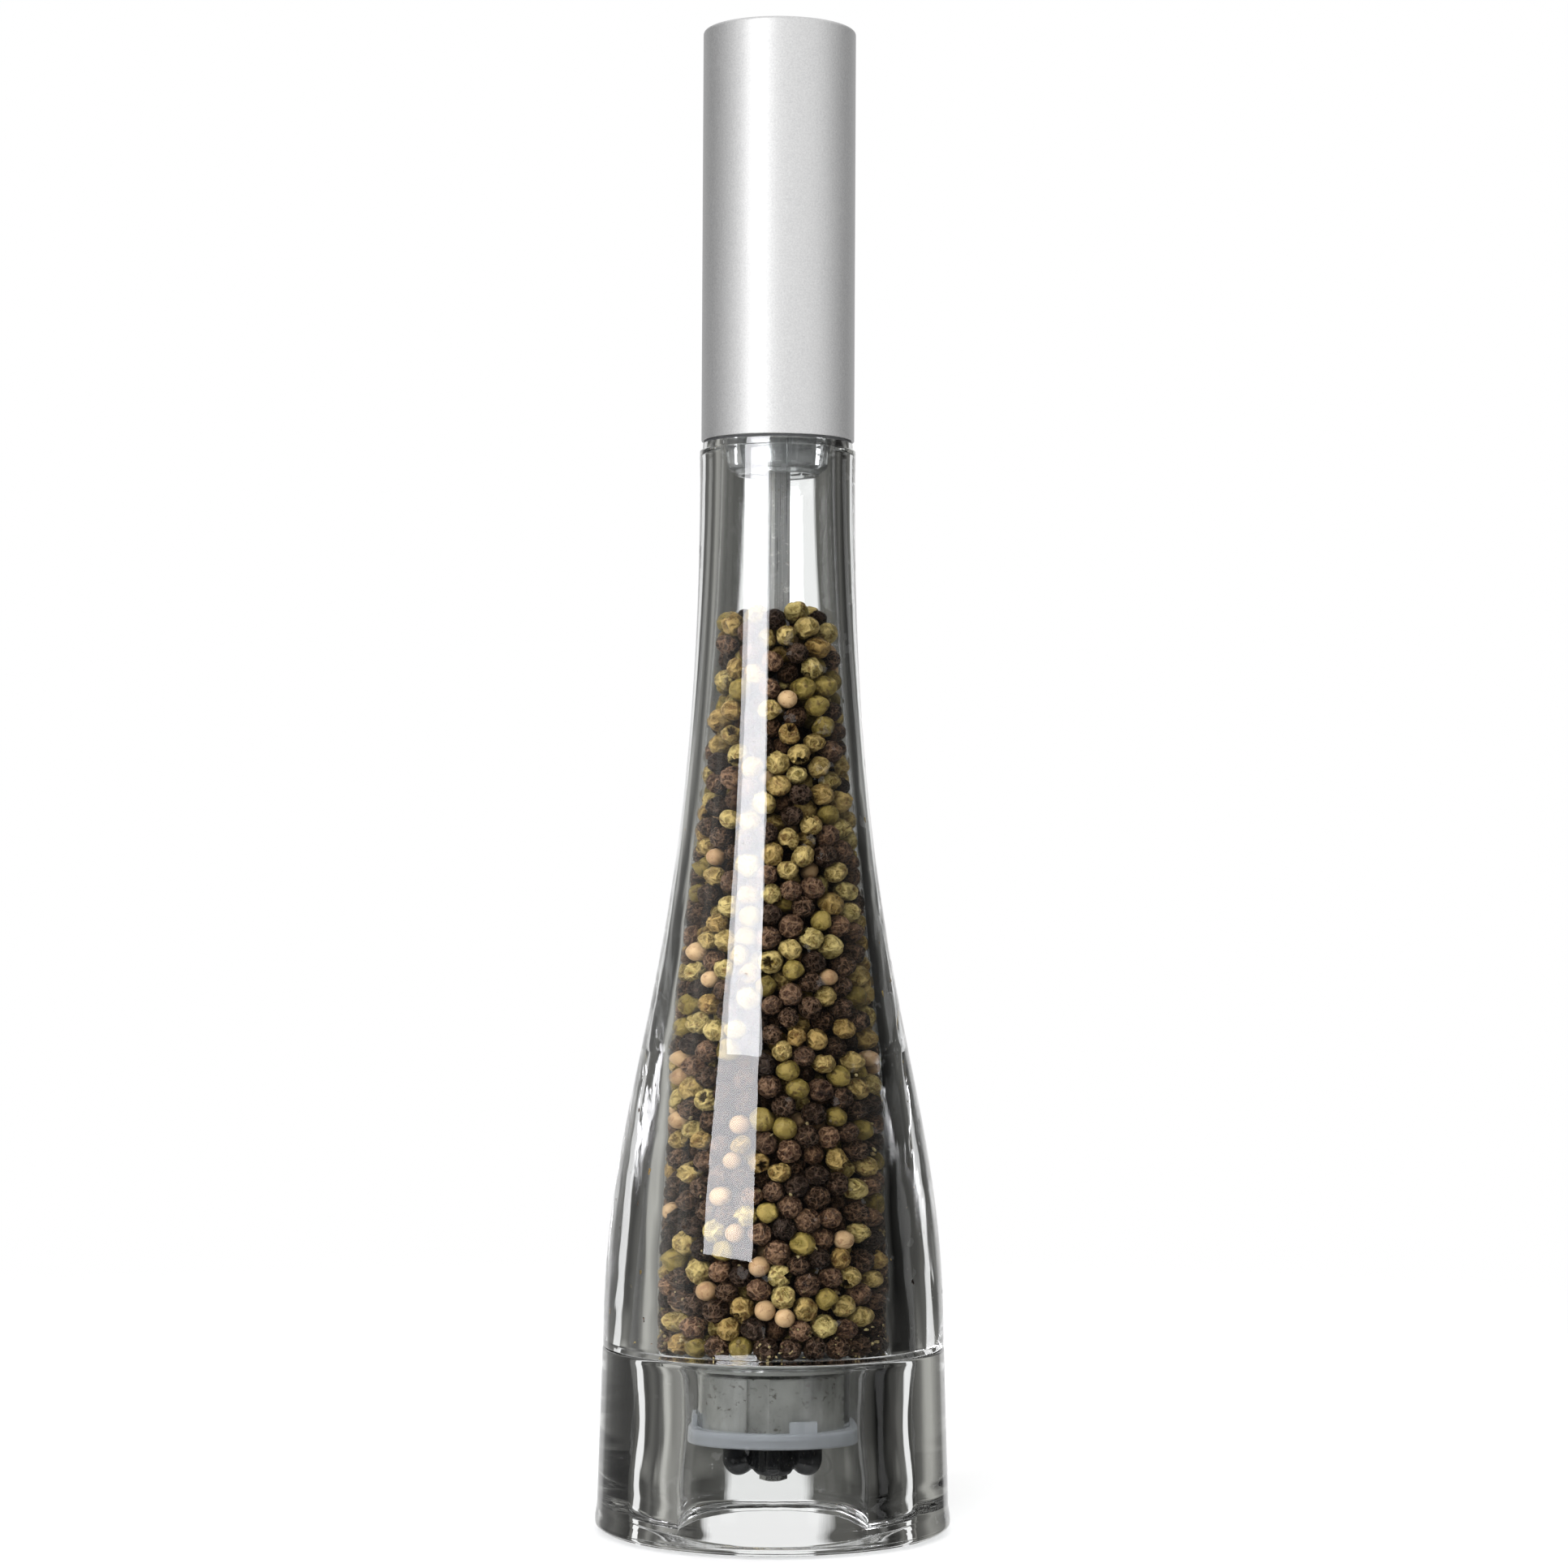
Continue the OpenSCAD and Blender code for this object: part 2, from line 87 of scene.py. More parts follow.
SHAFT_R = 3.0                           # round the shaft


def cubic(p0, p1, p2, p3, steps):
    """Points on a cubic curve."""
    out = []
    for i in range(steps + 1):
        t = i / steps
        u = 1 - t
        w = (u * u * u, 3 * u * u * t, 3 * u * t * t, t * t * t)
        out.append(tuple(sum(k * p[a] for k, p in zip(w, (p0, p1, p2, p3))) for a in (0, 1)))
    return out


def arc(centre, radius, start, end, steps=8):
    """Points on an arc, angles in degrees."""
    return [
        (
            centre[0] + radius * math.cos(math.radians(start + (end - start) * i / steps)),
            centre[1] + radius * math.sin(math.radians(start + (end - start) * i / steps)),
        )
        for i in range(steps + 1)
    ]


def line(p, q, steps):
    """Points on a straight stretch, with both ends."""
    return [(p[0] + (q[0] - p[0]) * i / steps, p[1] + (q[1] - p[1]) * i / steps) for i in range(steps + 1)]


def flare(steps):
    """The chamber's curved wall from the kink up to the rim."""
    return cubic((KINK_R, KINK_Z), (KINK_R - 4.9, KINK_Z + 46), (NECK_BORE_R, RIM_Z - 48),
                 (NECK_BORE_R, RIM_Z), steps)


FLARE_R, FLARE_Z = np.array(flare(60)).T


def chamber_radius(z):
    """The chamber's inner radius at a height."""
    cone = KINK_R + (CHAMBER_FOOT_R - KINK_R) * (KINK_Z - z) / (KINK_Z - SEAM_Z)
    return np.where(z < KINK_Z, cone, np.interp(z, FLARE_Z, FLARE_R))


# ---------------------------------------------------------------- mesh helpers

def new_object(name, mesh):
    obj = bpy.data.objects.new(name, mesh)
    SCENE.collection.objects.link(obj)
    return obj


def mark_sharp(mesh, angle):
    """Smooth faces, with the edges that turn by more than angle degrees kept crisp."""
    bm = bmesh.new()
    bm.from_mesh(mesh)
    limit = math.radians(angle)
    for face in bm.faces:
        face.smooth = True
    for edge in bm.edges:
        edge.smooth = len(edge.link_faces) == 2 and edge.calc_face_angle(0) < limit
    bm.to_mesh(mesh)
    bm.free()


def mesh_from(name, verts, faces, material, angle=30):
    """An object with that mesh, its doubled corners welded and its faces turned outward."""
    mesh = bpy.data.meshes.new(name)
    mesh.from_pydata(verts, [], faces)
    mesh.validate()
    bm = bmesh.new()
    bm.from_mesh(mesh)
    bmesh.ops.remove_doubles(bm, verts=bm.verts, dist=1e-6)
    bmesh.ops.recalc_face_normals(bm, faces=bm.faces)
    bm.to_mesh(mesh)
    bm.free()
    mark_sharp(mesh, angle)
    mesh.materials.append(material)
    return new_object(name, mesh)


def lathe(name, profile, material, angle=26, thetas=None):
    """A closed ring with that closed (r, z) outline, or with profile(theta) where the outline changes."""
    if thetas is None:
        thetas = [360 * i / SEGMENTS for i in range(SEGMENTS)]
    outline = profile if callable(profile) else (lambda _theta: profile)
    count = len(outline(thetas[0]))
    verts, faces = [], []
    for theta in thetas:
        c, s = math.cos(math.radians(theta)), math.sin(math.radians(theta))
        verts += [(r * c * MM, r * s * MM, z * MM) for r, z in outline(theta)]
    n = len(thetas)
    for i in range(n):
        j = (i + 1) % n
        for k in range(count):
            m = (k + 1) % count
            faces.append((i * count + k, i * count + m, j * count + m, j * count + k))
    return mesh_from(name, verts, faces, material, angle)


def stepped_thetas(first, repeats, width):
    """Angles round a ring, with close pairs at both sides of each of the repeated features."""
    jump = 0.02
    out = [360 * i / SEGMENTS for i in range(SEGMENTS)]
    for i in range(repeats):
        middle = first + 360 / repeats * i
        for side in (-1, 1):
            for step in (-jump, jump):
                out.append((middle + side * width / 2 + step) % 360)
    return sorted(set(round(a, 4) for a in out))


def inside_feature(theta, first, repeats, width):
    """True where theta lies within one of the repeated features."""
    pitch = 360 / repeats
    off = (theta - first + pitch / 2) % pitch - pitch / 2
    return abs(off) < width / 2


# ---------------------------------------------------------------- material helpers

class Nodes:
    """A small wrapper that adds and links shader nodes."""

    def __init__(self, name, world=False):
        self.owner = bpy.data.worlds.new(name) if world else bpy.data.materials.new(name)
        self.owner.use_nodes = True
        self.tree = self.owner.node_tree
        self.tree.nodes.clear()

    def add(self, kind, **values):
        node = self.tree.nodes.new(kind)
        for key, value in values.items():
            setattr(node, key, value)
        return node

    def link(self, source, target):
        self.tree.links.new(source, target)

    def feed(self, socket, value):
        """Sets a socket from a number, a colour or another node's output."""
        if isinstance(value, bpy.types.NodeSocket):
            self.link(value, socket)
            return
        if isinstance(value, tuple) and len(value) == 3 and len(socket.default_value) == 4:
            value = (*value, 1.0)
        socket.default_value = value

    def make(self, kind, settings=None, **inputs):
        """Adds a node, feeds the inputs named with underscores for spaces, and gives its outputs."""
        node = self.add(kind, **(settings or {}))
        for key, value in inputs.items():
            if value is not None:
                self.feed(node.inputs[key.replace("_", " ")], value)
        return node.outputs

    def coords(self, kind="Object", scale=None):
        out = self.add("ShaderNodeTexCoord").outputs[kind]
        return out if scale is None else self.make("ShaderNodeMapping", Vector=out, Scale=scale)["Vector"]

    def attribute(self, name, output="Fac"):
        return self.add("ShaderNodeAttribute", attribute_name=name).outputs[output]

    def noise(self, vector, scale, detail=3.0, rough=0.55, distort=0.0, output="Fac"):
        return self.make("ShaderNodeTexNoise", Vector=vector, Scale=scale, Detail=detail, Roughness=rough,
                         Distortion=distort)[output]

    def voronoi(self, vector, scale, feature="DISTANCE_TO_EDGE", output="Distance"):
        return self.make("ShaderNodeTexVoronoi", {"feature": feature}, Vector=vector, Scale=scale)[output]

    def math(self, operation, a, b=0.0, c=0.0, clamp=False):
        node = self.add("ShaderNodeMath", operation=operation, use_clamp=clamp)
        for socket, value in zip(node.inputs, (a, b, c)):
            self.feed(socket, value)
        return node.outputs[0]

    def span(self, value, from_low, from_high, to_low=0.0, to_high=1.0, smooth=False):
        """Maps a range to a range, clamped."""
        return self.make("ShaderNodeMapRange", {"interpolation_type": "SMOOTHSTEP" if smooth else "LINEAR"},
                         Value=value, From_Min=from_low, From_Max=from_high, To_Min=to_low,
                         To_Max=to_high)["Result"]

    def ramp(self, value, stops):
        """A colour for each value, from (place, colour) stops."""
        node = self.add("ShaderNodeValToRGB")
        ramp = node.color_ramp
        while len(ramp.elements) < len(stops):
            ramp.elements.new(0.5)
        for element, (place, colour) in zip(ramp.elements, stops):
            element.position = place
            element.color = (*colour, 1.0)
        self.link(value, node.inputs["Fac"])
        return node.outputs["Color"]

    def mix(self, factor, a, b):
        node = self.add("ShaderNodeMix", data_type="RGBA")
        self.feed(node.inputs["Factor"], factor)
        for socket, value in ((node.inputs[6], a), (node.inputs[7], b)):
            self.feed(socket, value)
        return node.outputs[2]

    def mix_shaders(self, factor, a, b):
        node = self.add("ShaderNodeMixShader")
        for socket, source in zip(node.inputs, (factor, a, b)):
            self.link(source, socket)
        return node.outputs[0]

    def bump(self, height, strength, distance, normal=None):
        return self.make("ShaderNodeBump", Strength=strength, Distance=distance, Height=height,
                         Normal=normal)["Normal"]

    def surface(self, **inputs):
        return self.make("ShaderNodeBsdfPrincipled", **inputs)["BSDF"]

    def output(self, shader):
        kind = "World" if isinstance(self.owner, bpy.types.World) else "Material"
        self.link(shader, self.add(f"ShaderNodeOutput{kind}").inputs["Surface"])
        return self.owner

    def lets_lamps_through(self, shader, tint):
        """Glass that casts no hard shadow: shadow rays pass, tinted a little."""
        clear = self.make("ShaderNodeBsdfTransparent", Color=tint)[0]
        return self.mix_shaders(self.make("ShaderNodeLightPath")["Is Shadow Ray"], shader, clear)


# ---------------------------------------------------------------- clear materials

def clear_acrylic():
    """Polished acrylic with faint wiping scratches and a few specks of dust."""
    n = Nodes("clear_acrylic")
    place = n.coords()
    scratches = n.noise(n.coords(scale=(900, 900, 60)), 1.0, 2.0, 0.6, 0.4)
    haze = n.noise(place, 160, 3.0)
    speck = n.span(n.voronoi(place, 420, "F1"), 0.03, 0.05, 1.0, 0.0)
    sparse = n.span(n.noise(place, 60, 1.0), 0.56, 0.64)
    dust = n.math("MULTIPLY", speck, sparse)
    rough = n.span(haze, 0.62, 0.85, 0.0, 0.02)
    rough = n.math("ADD", rough, n.math("MULTIPLY", dust, 0.25))
    normal = n.bump(scratches, 0.018, 0.0002)
    flow = n.noise(n.coords(scale=(1, 1, 0.5)), 90, 1.0, 0.5, 0.6)
    normal = n.bump(n.math("MULTIPLY", flow, n.attribute("inner")), 0.4, 0.0006, normal)
    body = n.surface(Base_Color=(0.985, 0.993, 0.988), Roughness=rough, IOR=1.49,
                     Transmission_Weight=1.0, Normal=normal)
    return n.output(n.lets_lamps_through(body, (0.93, 0.94, 0.935)))


def clear_moulding(name, clarity, tone=(0.93, 0.935, 0.93)):
    """The clear plastic of the housing or the crown: a little wavy, with flow marks."""
    n = Nodes(name)
    place = n.coords()
    flow = n.noise(n.coords(scale=(70, 70, 260)), 1.0, 3.0, 0.5, 1.2)
    haze = n.noise(place, 300, 3.0)
    normal = n.bump(flow, 0.12, 0.0006)
    body = n.surface(Base_Color=tone, Roughness=n.span(haze, 0.35, 0.75, 0.02, 0.12),
                     IOR=1.52, Transmission_Weight=clarity, Normal=normal)
    return n.output(n.lets_lamps_through(body, (0.85, 0.86, 0.86)))


def milky_moulding():
    """Translucent milky plastic of the retaining ring."""
    n = Nodes("milky_moulding")
    place = n.coords()
    cloud = n.noise(place, 90, 4.0)
    colour = n.mix(n.span(cloud, 0.3, 0.7), (0.68, 0.7, 0.74), (0.8, 0.83, 0.87))
    normal = n.bump(n.noise(place, 260, 2.0), 0.04, 0.0002)
    rough = n.span(cloud, 0.3, 0.7, 0.2, 0.26)
    body = n.surface(Base_Color=colour, Roughness=rough, IOR=1.46, Transmission_Weight=0.66, Normal=normal)
    return n.output(n.lets_lamps_through(body, (0.5, 0.51, 0.52)))


# ---------------------------------------------------------------- opaque materials

def satin_aluminium():
    """Bead-blasted, anodised aluminium: fine grain, soft gloss."""
    n = Nodes("satin_aluminium")
    place = n.coords()
    grain = n.noise(place, 2600, 2.0, 0.7)
    mottle = n.noise(place, 240, 3.0)
    cast = n.noise(place, 30, 2.0)
    tone = n.mix(n.span(grain, 0.3, 0.7), (0.62, 0.62, 0.625), (0.78, 0.78, 0.78))
    tone = n.mix(n.span(mottle, 0.3, 0.7, 0.0, 0.25), tone, (0.74, 0.74, 0.735))
    rough = n.math("ADD", n.span(grain, 0.3, 0.7, 0.34, 0.46), n.span(cast, 0.3, 0.7, -0.02, 0.03))
    normal = n.bump(grain, 0.22, 0.00012)
    return n.output(n.surface(Base_Color=tone, Metallic=1.0, Roughness=rough, Normal=normal))


def bright_bar():
    """Drawn aluminium bar: lengthwise scratches, rubbed with pepper dust."""
    n = Nodes("bright_bar")
    place = n.coords()
    drawn = n.noise(n.coords(scale=(2400, 2400, 40)), 1.0, 3.0, 0.7)
    nick = n.noise(n.coords(scale=(500, 500, 900)), 1.0, 4.0, 0.7, 1.5)
    nicks = n.span(nick, 0.58, 0.66)
    dust = n.span(n.noise(place, 1500, 3.0, 0.7), 0.6, 0.7)
    tone = n.mix(n.span(drawn, 0.3, 0.7), (0.36, 0.36, 0.355), (0.6, 0.6, 0.585))
    tone = n.mix(n.math("MULTIPLY", nicks, 0.8), tone, (0.9, 0.89, 0.86))
    tone = n.mix(n.math("MULTIPLY", dust, 0.6), tone, (0.3, 0.25, 0.16))
    rough = n.math("ADD", n.span(drawn, 0.3, 0.7, 0.24, 0.4), n.math("MULTIPLY", dust, 0.3))
    metal = n.span(dust, 0.0, 1.0, 0.7, 0.3)
    normal = n.bump(n.math("ADD", drawn, nicks), 0.25, 0.00015)
    return n.output(n.surface(Base_Color=tone, Metallic=metal, Roughness=rough, Normal=normal))


def sintered_steel():
    """Grey pressed burr metal, dusted with ground pepper."""
    n = Nodes("sintered_steel")
    place = n.coords()
    pores = n.noise(place, 2200, 3.0, 0.7)
    cloud = n.noise(n.coords(scale=(1, 1, 0.4)), 120, 4.0, 0.6)
    crumbs = n.span(n.noise(place, 620, 4.0, 0.7), 0.57, 0.64)
    crumbs = n.math("MULTIPLY", crumbs, n.span(n.noise(place, 70, 1.0), 0.4, 0.6))
    tone = n.mix(n.span(cloud, 0.34, 0.66), (0.34, 0.335, 0.32), (0.84, 0.83, 0.8))
    tone = n.mix(n.math("MULTIPLY", crumbs, 0.9), tone, (0.07, 0.045, 0.02))
    rough = n.span(pores, 0.3, 0.7, 0.36, 0.55)
    normal = n.bump(pores, 0.3, 0.0002)
    return n.output(n.surface(Base_Color=tone, Metallic=n.span(crumbs, 0, 1, 0.5, 0.0), Roughness=rough,
                              Normal=normal))


def fine_metal(name, dark, light, rough, relief, scale, detail, stretch=None):
    """Bright metal with a fine pattern, such as wound steel or the rings that a lathe leaves."""
    n = Nodes(name)
    grain = n.noise(n.coords(scale=stretch), scale, detail)
    tone = n.mix(n.span(grain, 0.3, 0.7), dark, light)
    return n.output(n.surface(Base_Color=tone, Metallic=1.0, Roughness=n.span(grain, 0.3, 0.7, *rough),
                              Normal=n.bump(grain, relief, 0.0001)))


def black_moulding():
    """Glossy black plastic, scuffed a little."""
    n = Nodes("black_moulding")
    place = n.coords()
    scuff = n.noise(place, 420, 4.0, 0.65, 0.8)
    skin = n.noise(place, 2400, 2.0)
    dust = n.span(n.noise(place, 1100, 3.0, 0.7), 0.64, 0.7)
    tone = n.mix(n.span(scuff, 0.35, 0.75), (0.006, 0.006, 0.007), (0.016, 0.017, 0.019))
    tone = n.mix(n.math("MULTIPLY", dust, 0.25), tone, (0.3, 0.26, 0.18))
    rough = n.span(scuff, 0.4, 0.75, 0.12, 0.28)
    return n.output(n.surface(Base_Color=tone, Roughness=rough, Normal=n.bump(skin, 0.06, 0.00012)))


def matt_moulding(name, dark, light):
    """Matt plastic or nylon, a little cloudy."""
    n = Nodes(name)
    place = n.coords()
    skin = n.noise(place, 1600, 3.0)
    cloud = n.noise(place, 90, 3.0)
    tone = n.mix(n.span(cloud, 0.3, 0.7), dark, light)
    return n.output(n.surface(Base_Color=tone, Roughness=n.span(skin, 0.3, 0.7, 0.45, 0.62),
                              Normal=n.bump(skin, 0.15, 0.00015)))


# ---------------------------------------------------------------- peppercorns

def corn_material(name, hollow, ridge, spots, cells=1.5, relief=0.7, sharp=0.3, gloss=(0.45, 0.7),
                  spot_share=0.5, bite=(0.0, 1.0)):
    """One kind of corn: pairs of colours, dark to pale, for its hollows and ridges, and one for blotches."""
    n = Nodes(name)
    place = n.attribute("corn_place", "Vector")
    tone = n.attribute("corn_tone")
    height = n.attribute("corn_height")
    shade = n.attribute("corn_shade")
    warp = n.noise(place, 1.7, 2.0, 0.5, output="Color")
    bend = n.add("ShaderNodeVectorMath", operation="MULTIPLY_ADD")
    for socket, value in zip(bend.inputs, (warp, (0.9, 0.9, 0.9), place)):
        n.feed(socket, value)
    folds = n.span(n.voronoi(bend.outputs[0], cells), 0.0, sharp, 1.0, 0.0, smooth=True)
    small = n.span(n.voronoi(bend.outputs[0], cells * 2.3), 0.0, sharp * 0.8, 1.0, 0.0, smooth=True)
    net = n.math("MAXIMUM", folds, n.math("MULTIPLY", small, 0.55))
    fine = n.noise(place, 7.0, 5.0, 0.65, 0.6)
    # Hollow and ridge colours by the ridge net and the ridge height: the dark hollows are partly the corn's
    # own colour and partly painted shade in the creases; bite widens the dark share.
    level = n.math("MULTIPLY_ADD", net, 0.75, n.math("MULTIPLY", height, 0.3))
    level = n.math("ADD", level, n.span(fine, 0.2, 0.8, -0.22, 0.22), clamp=True)
    level = n.span(level, *bite)
    inside = n.span(height, -0.7, -0.1, 0.12, 1.0)
    colour = n.mix(level, n.mix(tone, *hollow), n.mix(tone, *ridge))
    blotch = n.span(n.noise(place, 1.5, 3.0, 0.6, 0.8), 0.62 - 0.2 * spot_share, 0.72 - 0.2 * spot_share)
    colour = n.mix(n.math("MULTIPLY", blotch, 0.75), colour, spots)
    # Painted shade: the colour falls to near black inside broken shells and deeper in the fill, by
    # corn_shade.
    colour = n.mix(n.math("MULTIPLY", inside, shade), (0.009, 0.004, 0.001), colour)
    rough = n.span(fine, 0.25, 0.75, *gloss)
    # Painted shade on the gloss too: less specular in the hollows and deeper in the fill.
    shine = n.math("MULTIPLY", n.span(level, 0.0, 0.8, 0.06, 0.32), n.math("MULTIPLY", shade, shade))
    normal = n.bump(n.math("MULTIPLY_ADD", fine, 0.35, net), relief, 0.0007)
    return n.output(n.surface(Base_Color=colour, Roughness=rough, Specular_IOR_Level=shine, Normal=normal))


def sphere_points(detail):
    """Corners and faces of a round mesh; each step of detail has four times the triangles."""
    bm = bmesh.new()
    bmesh.ops.create_icosphere(bm, subdivisions=detail, radius=1.0)
    points = np.array([v.co for v in bm.verts])
    faces = np.array([[v.index for v in f.verts] for f in bm.faces])
    bm.free()
    return points, faces


def waves(points, rng, count, frequency):
    """Smooth random hills on the sphere, about -1 to 1."""
    out = np.zeros(len(points))
    for _ in range(count):
        way = rng.normal(size=3)
        way /= np.linalg.norm(way)
        out += np.sin(points @ way * frequency * rng.uniform(0.7, 1.3) + rng.uniform(0, 6.28))
    return out / math.sqrt(count)


def ridge_net(points, rng, cells, width):
    """Rounded ridges round irregular hollows: 1 on a ridge, 0 in a hollow."""
    bent = points + 0.16 * np.stack([waves(points, rng, 4, 5.0) for _ in range(3)], axis=1)
    bent /= np.linalg.norm(bent, axis=1)[:, None]
    seeds = rng.normal(size=(cells, 3))
    seeds /= np.linalg.norm(seeds, axis=1)[:, None]
    away = np.sort(np.arccos(np.clip(bent @ seeds.T, -1, 1)), axis=1)
    return np.exp(-(((away[:, 1] - away[:, 0]) / width) ** 2))


CORN_KINDS = {
    # kind: share of the draw, least and most radius, ridge depth, cells, ridge width, lumps, flattening
    "black": (0.40, (2.2, 2.65), 0.19, 20, 0.2, 0.06, 0.08),
    "brown": (0.13, (2.15, 2.55), 0.15, 16, 0.22, 0.06, 0.08),
    "green": (0.27, (2.1, 2.65), 0.12, 14, 0.24, 0.08, 0.16),
    "olive": (0.11, (2.05, 2.5), 0.07, 10, 0.3, 0.06, 0.1),
    "white": (0.09, (1.85, 2.2), 0.018, 9, 0.14, 0.035, 0.06),
}
DARK_MIX, GREEN_MIX = (0.45, 0.22, 0.22, 0.11), (0.2, 0.13, 0.47, 0.2)      # low down and near the top
SHAPES_PER_KIND = 10
CORN_COUNT = 2520                         # before those above the fill's top are left out
BATCH_FACES = 190000                      # the most triangles in one joined mesh


def random_way(rng):
    """A random direction."""
    way = rng.normal(size=3)
    return way / np.linalg.norm(way)


def corn_shape(kind, number, rng, points):
    """A unit corn of that kind: its corners and the ridge height at each, which the material turns into
    colour: low places in the hollows, dents and seam take the dark hollow colour, partly painted shade.
    """
    depth, cells, width, lumps, flat = CORN_KINDS[kind][2:]
    net = ridge_net(points, rng, cells, width)
    if kind in ("black", "brown", "green"):
        net = np.maximum(net, 0.75 * ridge_net(points, rng, cells * 2, width * 0.6))
    radius = 1 - depth + depth * net + lumps * waves(points, rng, 5, 2.2)
    if kind == "white":
        seam = np.exp(-((points[:, 0] / 0.06) ** 2)) * (points[:, 2] > -0.4)
        radius -= 0.03 * seam
        net = 1 - 0.6 * seam
    if kind in ("olive", "green"):
        for _ in range(3):
            dent = np.clip((points @ random_way(rng) - 0.8) / 0.2, 0, 1)
            radius -= 0.16 * dent ** 1.4
            net *= 1 - 0.6 * dent
    if kind == "green" and number % 3 == 0:
        # A broken shell: a puckered mouth that opens on the inside, which the material paints near black as
        # painted shade.
        way, across = random_way(rng), random_way(rng)
        side = np.cross(way, across)
        turn = np.arctan2(points @ side, points @ np.cross(side, way))
        width = 0.5 + 0.09 * np.sin(5 * turn) + 0.05 * np.sin(3 * turn + 1)
        away = np.arccos(np.clip(points @ way, -1, 1)) / width
        mouth = np.clip(np.clip(1.25 - away, 0, 1) / 0.45, 0, 1)
        radius += 0.1 * np.exp(-(((away - 1.25) / 0.22) ** 2))
        radius *= 1 - 0.62 * mouth
        net = np.where(mouth > 0.3, -1.2, net + 0.4 * np.exp(-(((away - 1.3) / 0.2) ** 2)))
    stretch = 1 - flat * rng.uniform(0, 1, 3)
    corners = points * radius[:, None] * stretch
    return corners / np.percentile(np.linalg.norm(corners, axis=1), 70), net


def deep_shade(points):
    """How little light reaches a place in the fill: 1 at the wall or the top, falling with depth."""
    below = points[:, 2].max() - points[:, 2]
    depth = chamber_radius(points[:, 2]) - np.hypot(points[:, 0], points[:, 1])
    depth = np.minimum(np.clip(depth, 0, None), below + 0.5)
    return np.exp(-np.clip(depth - 0.7, 0, None) / 3.6)


def pack_corns(rng, radii):
    """Centres of corns that fill the chamber: random starts, pushed apart and pulled down until they rest."""
    count = len(radii)
    heights = np.linspace(FLOOR_Z + 3, FILL_TOP + 10, 400)
    area = chamber_radius(heights) ** 2
    share = np.cumsum(area) / np.sum(area)
    z = np.interp(rng.uniform(0, 1, count), share, heights)
    around = rng.uniform(0, 2 * math.pi, count)
    out = np.sqrt(rng.uniform(0.03, 0.95, count)) * (chamber_radius(z) - 2.5)
    p = np.stack([out * np.cos(around), out * np.sin(around), z], axis=1)
    rounds, first_pull, slack = 300, 0.12, 1.6
    for turn in range(rounds):
        if turn % 8 == 0:
            pairs = near_pairs(p, 2 * radii.max() + slack)
        p[:, 2] -= first_pull * (1 - turn / rounds) ** 1.5
        for _ in range(4):
            push_apart(p, radii, pairs)
            keep_inside(p, radii)
    return p


def near_pairs(p, reach):
    """Index pairs of corns whose centres are closer than reach."""
    found = []
    order = np.argsort(p[:, 2], kind="stable")
    q = p[order]
    for start in range(0, len(q), 200):
        stop = min(start + 200, len(q))
        last = np.searchsorted(q[:, 2], q[stop - 1, 2] + reach)
        gap = q[start:stop, None, :] - q[None, start:last, :]
        near = np.argwhere((gap ** 2).sum(axis=2) < reach * reach)
        near = near[near[:, 0] < near[:, 1]] + start
        found.append(near)
    pairs = np.concatenate(found)
    return order[pairs[:, 0]], order[pairs[:, 1]]


def push_apart(p, radii, pairs):
    """Moves corns that overlap part of the way off each other."""
    a, b = pairs
    gap = p[a] - p[b]
    far = np.linalg.norm(gap, axis=1) + 1e-9
    over = np.clip(radii[a] + radii[b] - far, 0, None)
    move = gap / far[:, None] * (over * 0.36)[:, None]
    for axis in range(3):
        p[:, axis] += np.bincount(a, move[:, axis], len(p)) - np.bincount(b, move[:, axis], len(p))


def keep_inside(p, radii):
    """Moves corns back off the wall, the shaft and the floor."""
    flat = np.hypot(p[:, 0], p[:, 1]) + 1e-9
    widest = chamber_radius(p[:, 2]) - radii * 1.02 - 0.05
    inner = SHAFT_R + radii * 0.95
    scale = np.clip(flat, inner, widest) / flat
    p[:, 0] *= scale
    p[:, 1] *= scale
    ground = np.where(flat < HUB_R + radii * 0.5, HUB_Z, FLOOR_Z) + radii * 0.95
    p[:, 2] = np.maximum(p[:, 2], ground)


def turn_matrices(rng, count):
    """Random rotations, one for each corn."""
    q = rng.normal(size=(count, 4))
    q /= np.linalg.norm(q, axis=1)[:, None]
    w, x, y, z = q.T
    return np.stack([
        np.stack([1 - 2 * (y * y + z * z), 2 * (x * y - z * w), 2 * (x * z + y * w)], axis=1),
        np.stack([2 * (x * y + z * w), 1 - 2 * (x * x + z * z), 2 * (y * z - x * w)], axis=1),
        np.stack([2 * (x * z - y * w), 2 * (y * z + x * w), 1 - 2 * (x * x + y * y)], axis=1),
    ], axis=1)


